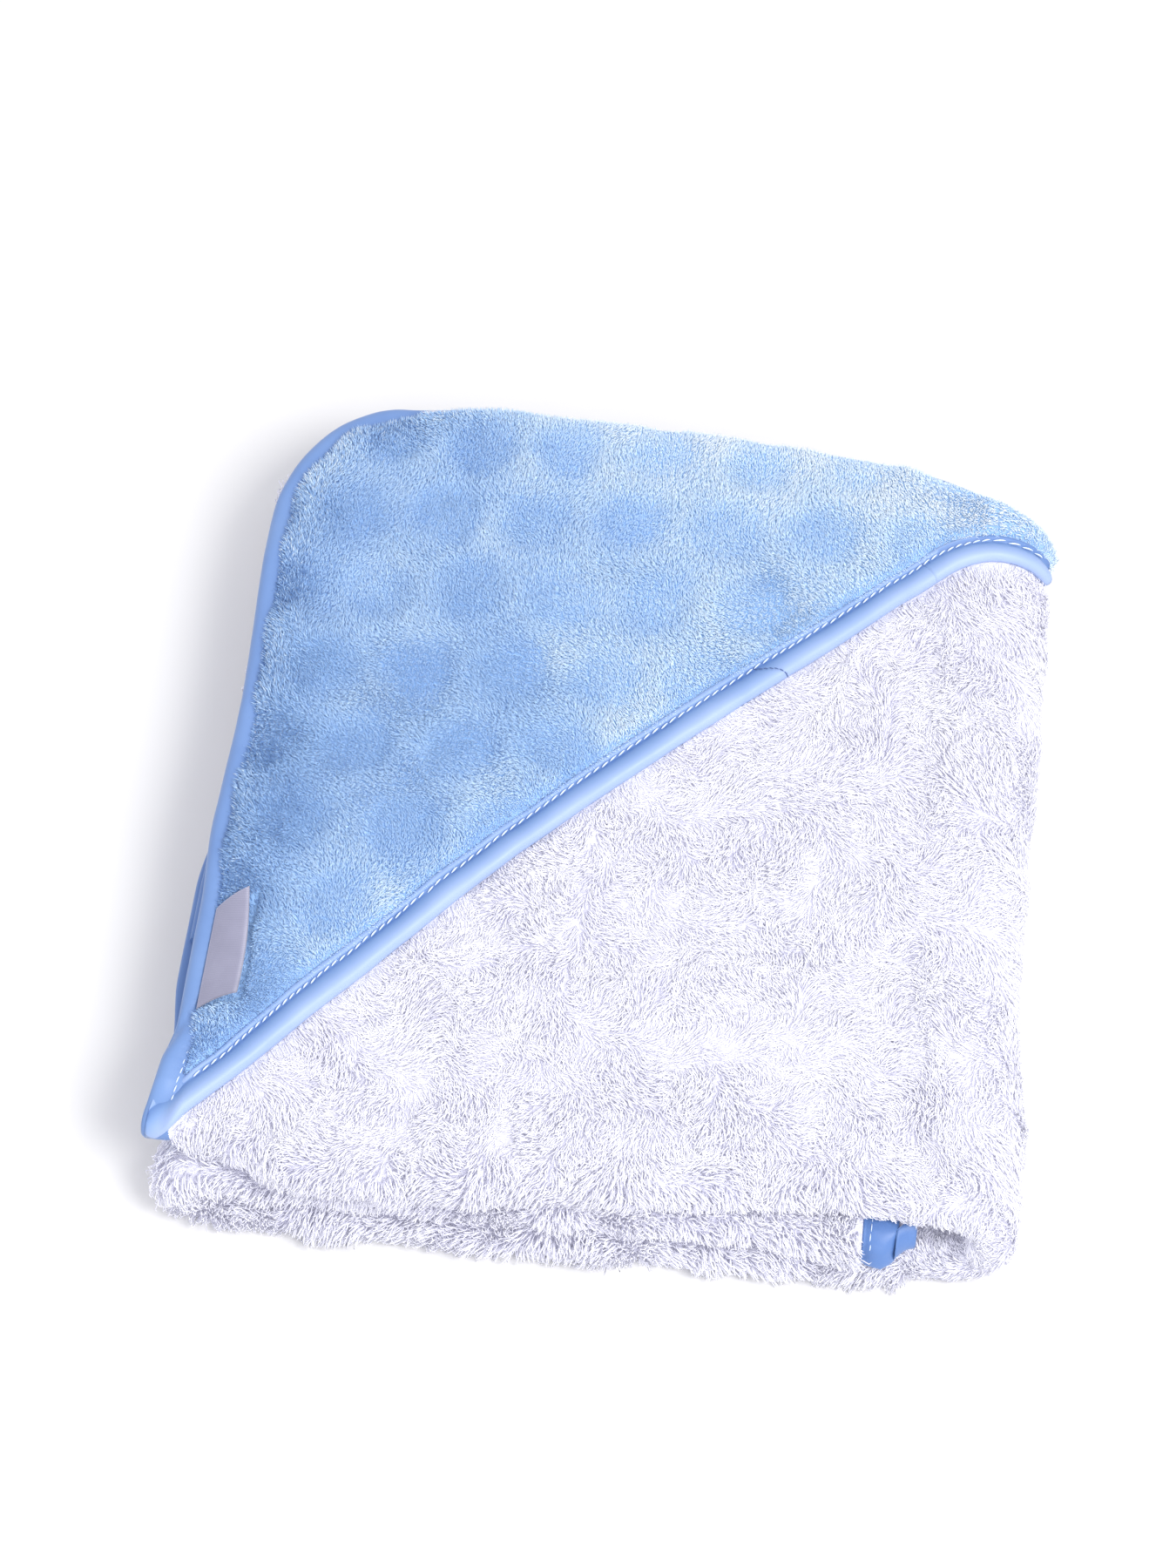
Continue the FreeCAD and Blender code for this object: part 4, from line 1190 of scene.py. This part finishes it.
def build_inside_tapes():
    """Far edge of the towel, inside each section."""
    for tag, start, end, body, replaced in (
            ("top", 12, A_BEND - 8, "top_section", ["edge_binding_inside_top"]),
            ("bottom", A_BOTTOM + 24, A_LEFT - 2, "bottom_section",
             ["edge_binding_inside_lower"]),
            ("tucked", A_TUCKED + 2, A_END - 15, "bottom_section", [])):
        across = np.arange(start, end, 4.0)
        rings, _, _ = flat_tape_rings(across, far_along(across, 55), (0, -1), seed=90)
        piece, _ = add_tape("edge_tape_inside_" + tag, rings, replaced=replaced)
        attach(piece, body)


# -------------------------------------------------------------------------- hood
DOT_PITCH = 33.0
DOT_ROW = 29.8


def dot_distance(x, y):
    """Distance to the nearest sunken dot's centre, in a hexagonal layout."""
    best = np.full(np.shape(x), 1e9)
    row_y = y + 19.5 - 0.028 * (x + 50)
    nearest = np.round(row_y / DOT_ROW).astype(int)
    for dj in (-1, 0, 1):
        j = nearest + dj
        offset = np.where(j % 2 == 0, 0.0, 0.5) * DOT_PITCH
        row_x = x + 105.5 + 1.6 * j - 5.5 * (j == 4)
        i0 = np.round((row_x - offset) / DOT_PITCH)
        for di in (-1, 0, 1):
            i = i0 + di
            dx = row_x - (i * DOT_PITCH + offset) - 1.6 * np.sin(j * 12.9 + i * 7.3)
            dy = row_y - j * DOT_ROW - 1.4 * np.cos(j * 5.1 + i * 3.7)
            best = np.minimum(best, np.hypot(dx, dy * 1.05))
    return best + layered(x, y, (1.5, 13, 77), (0.8, 6, 78))


def hood_inset(x, y):
    """Distance inside the hood's sewn legs (flat coordinates)."""
    across = x - EDGE_X
    dx = CORNER_R - across
    dy = y - CORNER_Y
    return np.where((dx > 0) & (dy > 0), CORNER_R - np.hypot(dx, dy),
                    np.minimum(across, straight_back_y(across) - y))


def tape_width(x):
    """Width of the mouth tape, as a share of its section's."""
    return (1.0 - 0.05 * smoothstep(40, 90, x) - 0.10 * smoothstep(100, 120, x)
            + 0.12 * smoothstep(-112, -126, x))


def plush_from_mouth(x):
    """Where the plush begins, measured inwards from the mouth's outer edge."""
    return (MOUTH_GROOVE + 1.9) * tape_width(x)


def label_mask(x, y):
    """1 under the sewn-on label, where the pile is pressed flat."""
    sides = smoothstep(-129.0, -127.6, x) * (1 - smoothstep(-113.4, -111.9, x))
    front = smoothstep(-1.2, 0.6, y - (-90.6 + (x + 124.4) * 0.40))
    back = 1 - smoothstep(-0.6, 1.2, y - (-54.6 + (x + 123.2) * 0.70))
    return sides * front * back


def back_share(x, y):
    """1 along the back leg of the hood."""
    return smoothstep(-103, -56, x) * smoothstep(85, 118, y)


def plush_from_edge(x, y):
    """Where the plush begins, measured inwards from the towel's edge."""
    back = back_share(x, y)
    start = 8.5 - 2.5 * smoothstep(-62, -5, y) + 1.4 * smoothstep(55, 95, y)
    start = start * (1 - back) + 1.2 * back
    return start - (1 - 0.5 * back) * (smoothstep(10, 16, dot_distance(x, y)) - 0.45)


def rounded_edge(height, edge_height, distance, width):
    """Rounds the height down to edge_height where distance is 0."""
    share = clamp01(distance / width)
    return edge_height + (height - edge_height) * np.sqrt(1 - (1 - share) ** 2)


def hood_height(x, y):
    """Height of the plush ground over the towel, soft pads with sunken dots, and
    the distance to the nearest dot."""
    dot = dot_distance(x, y)
    edge = hood_inset(x, y) - plush_from_edge(x, y)
    back = back_share(x, y)
    height = 2.7 + 1.15 * smoothstep(8.5, 16.0, dot) * (0.75 + 0.5 * vnoise(x, y, 40, 303))
    height = height + layered(x, y, (1.0, 52, 301), (0.45, 19, 302))
    height = height + 0.9 * bell(edge - 7, 6.0)
    height = height - 1.1 * np.exp(-((x + 117) / 8.0) ** 2 - ((y + 70) / 24.0) ** 2)
    height = rounded_edge(height, 1.5 * (1 - back) - 0.9 * back, edge, 5.5)
    height = rounded_edge(height, 2.3, mouth_dist(x, y) - plush_from_mouth(x), 6.0)
    return height * (1 - 0.38 * label_mask(x, y)), dot


def hood_rows():
    """Grid of rays from the mouth's inner line to the towel's edge."""
    x = np.linspace(-131.0, 134.0, 236)
    normal_x, normal_y = mouth_normal(x)
    start_x = (x + normal_x * plush_from_mouth(x))[:, None]
    start_y = (mouth_y(x) + normal_y * plush_from_mouth(x))[:, None]
    normal_x, normal_y = normal_x[:, None], normal_y[:, None]
    lengths = np.arange(0, 235, 0.5)
    ray_x = start_x + normal_x * lengths
    ray_y = start_y + normal_y * lengths
    outside = hood_inset(ray_x, ray_y) < plush_from_edge(ray_x, ray_y)
    far = np.maximum(lengths[np.argmax(outside, axis=1)], 0.02)
    steps = np.linspace(0, 1, 116)
    grid_x = start_x + normal_x * far[:, None] * steps
    grid_y = start_y + normal_y * far[:, None] * steps
    # leave out the empty rays at both ends, but one at the front
    keep = far > 0.6
    first = max(int(np.argmax(keep)) - 1, 0)
    end = len(keep) - int(np.argmax(keep[::-1]))
    return grid_x[first:end], grid_y[first:end]


def hood_lift(across, along):
    """The hood follows half of the cloth's sway."""
    return np.minimum(sway(across, along), 0.6) * 0.5


def hood_place(x, y, height):
    across, along = cloth_coords(x, y)
    return place(across, along, height + hood_lift(across, along))


def build_hood():
    """Plush ground as a slab, parted at the bend into panel and fold end."""
    grid_x, grid_y = hood_rows()
    x, y = grid_x.ravel(), grid_y.ravel()
    height, dot = hood_height(x, y)
    verts = np.concatenate([hood_place(x, y, height),
                            hood_place(x, y, np.minimum(0.3, height - 0.5))])
    x, y, dot = (np.tile(values, 2) for values in (x, y, dot))
    quads = slab_quads(*grid_x.shape)
    valley = smoothstep(8.5, 16.0, dot)
    on_panel = x[quads].mean(1) < BEND_X
    for tag, chosen, replaced in (
            ("panel", on_panel, ["hood_panel_sewn_margin", "hood_panel_mouth"]),
            ("fold_end", ~on_panel, [])):
        used, faces = np.unique(quads[chosen], return_inverse=True)
        piece = add_piece("hood_plush_" + tag, verts[used], faces.reshape(-1, 4),
                          PLUSH_GROUND, attrs={"valley": valley[used]}, replaced=replaced)
        if tag == "panel":
            on_hood(piece, mouth_weight(x[used], y[used]))
        else:
            on_fold(piece, sheet_weight(x[used] - EDGE_X, verts[used]))


def build_plush_pile():
    random = np.random.RandomState(400)
    x, y = jittered_grid((-131, 137), (-128, 150), 4.2 * (1.0), random)
    keep = ((mouth_dist(x, y) > plush_from_mouth(x) - 0.5)
            & (hood_inset(x, y) > plush_from_edge(x, y) - 0.2) & (x < 135))
    x, y = x[keep], y[keep]
    count = len(x)
    edge = hood_inset(x, y) - plush_from_edge(x, y)
    mouth = mouth_dist(x, y) - plush_from_mouth(x)
    ground, dot = hood_height(x, y)
    valley = smoothstep(6.5, 17.0, dot)
    angle = layered(x, y, (2.2, 38, 401), (1.2, 14, 402)) + random.randn(count) * 0.5 + 2.4
    # the pile stands up and parts along the left edge, and is short along the back
    side = (bell(np.maximum(edge - 1, 0), 11.0) * (1 - smoothstep(-80, -40, x))
            * (0.75 + 0.25 * smoothstep(-60, 0, y)))
    length = 2.1 * (0.7 + 0.6 * random.rand(count)) * (0.85 + 0.3 * valley) * (1 + 0.30 * side)
    length = length * (1 - 0.40 * clamp01(1 - edge / 6.0) * smoothstep(-100, -60, x))
    length = length * (1 - 0.62 * label_mask(x, y))
    lean = 0.60 + 0.2 * vnoise(x, y, 12, 403)
    lean_x = np.cos(angle) * length * lean
    lean_y = np.sin(angle) * length * lean
    # outwards over the sewn edge, and over the mouth tape
    out = clamp01((5.0 - edge) / 5.0)
    inward_x = (hood_inset(x + 1, y) - hood_inset(x - 1, y)) / 2
    inward_y = (hood_inset(x, y + 1) - hood_inset(x, y - 1)) / 2
    lean_x = lean_x * (1 - out) - inward_x * out * length * 0.5
    lean_y = lean_y * (1 - out) - inward_y * out * length * 0.5
    lip = clamp01((3.0 - mouth) / 3.0)
    lean_x = lean_x * (1 - lip) + lip * 0.35 * length
    lean_y = lean_y * (1 - lip) - lip * 0.35 * length
    rise = length * (0.66 + 0.14 * random.randn(count)) * (1 - 0.25 * np.maximum(out, lip))
    tuft_x, tuft_y, _ = clump_centres(x + 300, y + 300, 2.2, 405)
    lean_x = lean_x + (tuft_x - 300 - x) * 0.38
    lean_y = lean_y + (tuft_y - 300 - y) * 0.38
    # painted sheen and shade: pale sheen at the edge, on the pads and in patches, painted light towards the
    # right, painted shade along the left edge and at the far left, and a random spread
    inside = np.maximum(edge, 0)
    sheen_and_shade = (0.50 * bell(inside, 7.0) * (0.7 + 0.5 * vnoise(x, y, 16, 411))
             + 0.23 * valley * (0.6 + 0.8 * vnoise(x, y, 30, 412))
             + 0.45 * clamp01(vnoise(x, y, 24, 413) - 0.1)
             + 0.20 * vnoise(x, y, 60, 414) - 0.62 * side * (1 - 0.45 * valley)
             + 0.46 * smoothstep(-40, 75, x)
             + 0.55 * bell(inside, 20.0) * smoothstep(-75, -35, x)
             - 0.52 * (1 - smoothstep(-116, -84, x)) * (1 - 0.6 * smoothstep(70, 120, y))
             + (0.12 + 0.48 * side) * random.randn(count) + 0.10)
    sheen_and_shade = np.clip(sheen_and_shade, -0.8, 1.15)
    path = np.stack([hood_place(x, y, ground - 0.25),
                     hood_place(x + lean_x * 0.35, y + lean_y * 0.35, ground + rise * 0.6),
                     hood_place(x + lean_x, y + lean_y, ground + rise)])
    radius = 0.15 * (0.8 + 0.4 * random.rand(count)) * 1.0
    order = np.argsort(y, kind="stable")
    on_panel = x[order] < BEND_X
    panel = order[on_panel]
    parts = np.array_split(panel, max(1, math.ceil(len(panel) / 19000)))
    groups = [("hood_pile_%d" % (k + 1), chosen) for k, chosen in enumerate(parts)]
    groups.append(("hood_pile_fold_end", order[~on_panel]))
    for name, chosen in groups:
        piece = add_strands(name, path[:, chosen], [radius[chosen], radius[chosen] * 0.9],
                            [0, 0.6], PLUSH_PILE,
                            attrs={"valley": np.repeat(valley[chosen], 7),
                                   "sheen_and_shade": np.repeat(sheen_and_shade[chosen], 7)})
        if name == "hood_pile_fold_end":
            on_fold(piece, sheet_weight(x[chosen] - EDGE_X, path[0, chosen]))
        else:
            on_hood(piece, mouth_weight(x[chosen], y[chosen]))


# --------------------------------------------------------------------- mouth tape
def build_mouth_tape():
    """Tape on the hood's mouth, from the front tip to the right fold."""
    x = np.arange(-130.5, 132.2, 0.9)
    across, along = cloth_coords(x, mouth_y(x))
    side_across, normal_y = mouth_normal(x)
    side_along = -normal_y + np.gradient(front_y(across), across) * side_across
    width = tape_width(x)
    inward = MOUTH_SECTION[None, :, 0] * width[:, None]
    height = np.repeat(MOUTH_SECTION[None, :, 1], len(x), 0)
    distance = arc_length(across, along)
    ripple = (pucker(distance, 0.11, 3.05, inward - 9.6, 1.8)
              + 0.30 * vnoise(distance[:, None], inward * 1.5, 22, 502)
              + 0.12 * vnoise(distance[:, None], inward * 2, 6, 503))
    height = height + np.where(height > 0.6, ripple, 0)
    tape_across = np.maximum(across[:, None] + side_across[:, None] * inward, 2.0)
    tape_along = along[:, None] + side_along[:, None] * inward
    # the tape runs in underneath the tape of the left leg
    height = height * np.clip((tape_across - 6.0) / 5.0, 0.2, 1.0)
    lift = hood_lift(across, along)
    rings = place(tape_across, tape_along, height + lift[:, None])
    # painted light and shade: the satin is lit towards the tape's outer edge and shaded down into the
    # stitched groove, with the lip in between
    shade = np.where(inward > 8.9, 0.62, 1.0 - (np.clip(inward, 0, 8.4) / 8.4) ** 1.4)
    cut = int(np.argmax(x >= BEND_X))
    # the main part reaches on, slightly shrunk, inside the fold end
    end = cut + 3
    main = rings[:end].copy()
    for k in (cut + 1, cut + 2):
        middle = main[k].mean(0)
        main[k] = middle + (main[k] - middle) * 0.95
    piece, _ = add_tape("hood_mouth_tape", main, shade[:end],
                        ["hood_face_binding", "hood_face_binding_sewn_ends"])
    weights = mouth_weight(*flat_xy(tape_across[:end], tape_along[:end])).ravel()
    on_hood(piece, np.append(weights, [0, 0]))
    piece, verts = add_tape("hood_mouth_tape_fold_end", rings[cut:], shade[cut:])
    ends = [across[cut], across[-1]]
    on_fold(piece, sheet_weight(np.append(tape_across[cut:].ravel(), ends), verts))
    # topstitch in the groove
    groove = (MOUTH_GROOVE - 0.1) * width
    seam_across = across + side_across * groove
    seam_along = along + side_along * groove
    sewn = seam_across > 11.0
    lines, middles = stitch_lines(seam_across[sewn], seam_along[sewn],
                                  (side_across[sewn], side_along[sewn]), 2.55 + lift[sewn],
                                  seed=9, pitch=3.35, length=2.75, slant=0.3)
    on_main = middles[:, 0] < A_BEND
    piece = add_stitches("hood_mouth_topstitch", lines[on_main], 0.30,
                         replaced=["hood_face_topstitch"])
    on_hood(piece, mouth_weight(*flat_xy(*middles[on_main].T)))
    piece = add_stitches("hood_mouth_topstitch_fold_end", lines[~on_main], 0.30)
    on_fold(piece, sheet_weight(middles[~on_main, 0], lines[~on_main, 2]))


def build_join_seam():
    """Short dark seam where the mouth tape's ends join."""
    # (x, y) across the tape
    points = np.array([(37.2, 50.6), (38.4, 50.1), (40.0, 49.9), (43.7, 50.0), (47.2, 49.6),
                       (49.4, 49.0), (51.2, 48.2)])
    steps = np.linspace(0, 1, 60)
    x, y = (np.interp(steps, np.linspace(0, 1, 7), points[:, i]) for i in (0, 1))
    # the section's first 13 points are its upper side
    height = np.interp(mouth_dist(x, y), *MOUTH_SECTION[:13].T) + 0.30
    lines, middles = stitch_lines(*cloth_coords(x, y), (0.0, 1.0), height, seed=12, pitch=1.75,
                                  length=1.45, rise=0.12, jitter=0.05)
    piece = add_stitches("mouth_tape_join_seam", lines, 0.20, SEAM_THREAD,
                         ["binding_join_seam"])
    on_hood(piece, mouth_weight(*flat_xy(*middles.T)))


# ------------------------------------------------------------------------- label
# plan corners (x, y) of the woven label by the front left edge
LABEL_FRONT_LEFT = np.array([-125.4, -90.9])
LABEL_BACK_LEFT = np.array([-124.3, -55.2])
LABEL_FRONT_RIGHT = np.array([-112.9, -86.0])
LABEL_BACK_RIGHT = np.array([-114.4, -48.4])
LABEL_THICKNESS = 0.45


def build_label():
    rows, columns = 64, 24
    # back: 0 at the front end, 1 at the back; right: 0 at the sewn left side, 1 free
    back, right = np.meshgrid(np.linspace(0, 1, rows), np.linspace(0, 1, columns),
                              indexing="ij")
    plan = (((1 - back) * (1 - right))[..., None] * LABEL_FRONT_LEFT
            + (back * (1 - right))[..., None] * LABEL_BACK_LEFT
            + ((1 - back) * right)[..., None] * LABEL_FRONT_RIGHT
            + (back * right)[..., None] * LABEL_BACK_RIGHT)
    x = plan[..., 0] + 0.9 * np.sin(back * math.pi) * right
    y = plan[..., 1] + 0.5 * np.sin(right * math.pi)
    # rises from the seam, waves along the free side and lifts at both ends
    z = 45.3 + 3.2 * np.sin(clamp01(right * 1.1) * math.pi / 2) ** 0.9
    z = z + 0.35 * np.sin(back * 5.5 + 0.6) * right + 0.5 * right ** 3 * np.cos(back * 6.2)
    z = z + 7.2 * right * clamp01(0.12 - back) + 4.8 * right * clamp01(back - 0.9)
    upper = np.stack([x, y, z], -1).reshape(-1, 3)
    verts = np.concatenate([upper, upper - np.array([0, 0, LABEL_THICKNESS])])
    edge = np.tile(clamp01((right - 0.86) * 12).ravel(), 2)
    piece = add_piece("woven_side_label", verts, slab_quads(rows, columns)[:, ::-1], LABEL,
                      attrs={"edge": edge}, replaced=["side_label"])
    # the sewn edge stays with the binding, the rest turns about the seam
    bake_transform(piece, "top_section", "label", start=(-0.1230, -0.069, 0.0468),
             end=(-0.1204, -0.069, 0.0468))
    set_blend(piece, smoothstep(-123.0, -120.4, verts[:, 0]))


build_terry_sheet()
build_terry_pile()
build_leg_tape()
build_lower_back_tape()
build_tucked_tape()
build_inside_tapes()
build_hood()
build_plush_pile()
build_mouth_tape()
build_join_seam()
build_label()


# ------------------------------------------------------- floor, light and camera
def build_floor():
    bpy.ops.mesh.primitive_plane_add(size=6.0, location=(0, 0, -0.0002))
    floor = bpy.context.object
    floor.name = "studio_floor"
    shader = Shader("pale_floor")
    shader.surface({"Base Color": (0.745, 0.745, 0.74, 1), "Roughness": 0.9,
                    "Specular IOR Level": 0.1})
    floor.data.materials.append(shader.material)


def build_world():
    world = bpy.data.worlds.new("studio")
    bpy.context.scene.world = world
    world.use_nodes = True
    tree = world.node_tree
    background = [n for n in tree.nodes if n.type == "BACKGROUND"][0]
    feed(tree, background, {"Color": (0.955, 0.95, 1.0, 1), "Strength": 1.07})


def aim(thing, direction):
    thing.rotation_euler = direction.to_track_quat("-Z", "Y").to_euler()


def area_light(name, location, target, size, energy, color):
    data = bpy.data.lights.new(name, "AREA")
    data.shape = "RECTANGLE"
    data.size, data.size_y = size
    data.energy = energy
    data.color = color
    light = bpy.data.objects.new(name, data)
    light.location = location
    aim(light, Vector(target) - Vector(location))
    bpy.context.scene.collection.objects.link(light)


def build_camera():
    data = bpy.data.cameras.new("camera")
    camera = bpy.data.objects.new("camera", data)
    bpy.context.scene.collection.objects.link(camera)
    azimuth, elevation, distance = math.radians(5.4), math.radians(59.9), 1.163
    target = Vector((-0.0132, 0.0156, 0.020))
    direction = Vector((math.sin(azimuth) * math.cos(elevation),
                        -math.cos(azimuth) * math.cos(elevation), math.sin(elevation)))
    camera.location = target + direction * distance
    aim(camera, -direction)
    data.sensor_fit = "HORIZONTAL"
    data.sensor_width = 36.0
    data.lens = 107.733333
    data.clip_start = 0.05
    data.clip_end = 20.0
    bpy.context.scene.camera = camera


build_floor()
build_world()
area_light("key", location=(0.82, -0.60, 1.45), target=(0.0, 0, 0.03), size=(0.65, 0.65),
           energy=20.5, color=(1.0, 0.99, 0.97))
area_light("fill", location=(0.10, -1.35, 0.50), target=(0.0, -0.05, 0.03), size=(1.3, 0.5),
           energy=4.6, color=(0.97, 0.98, 1.0))
build_camera()
bpy.context.scene.view_settings.view_transform = "Standard"
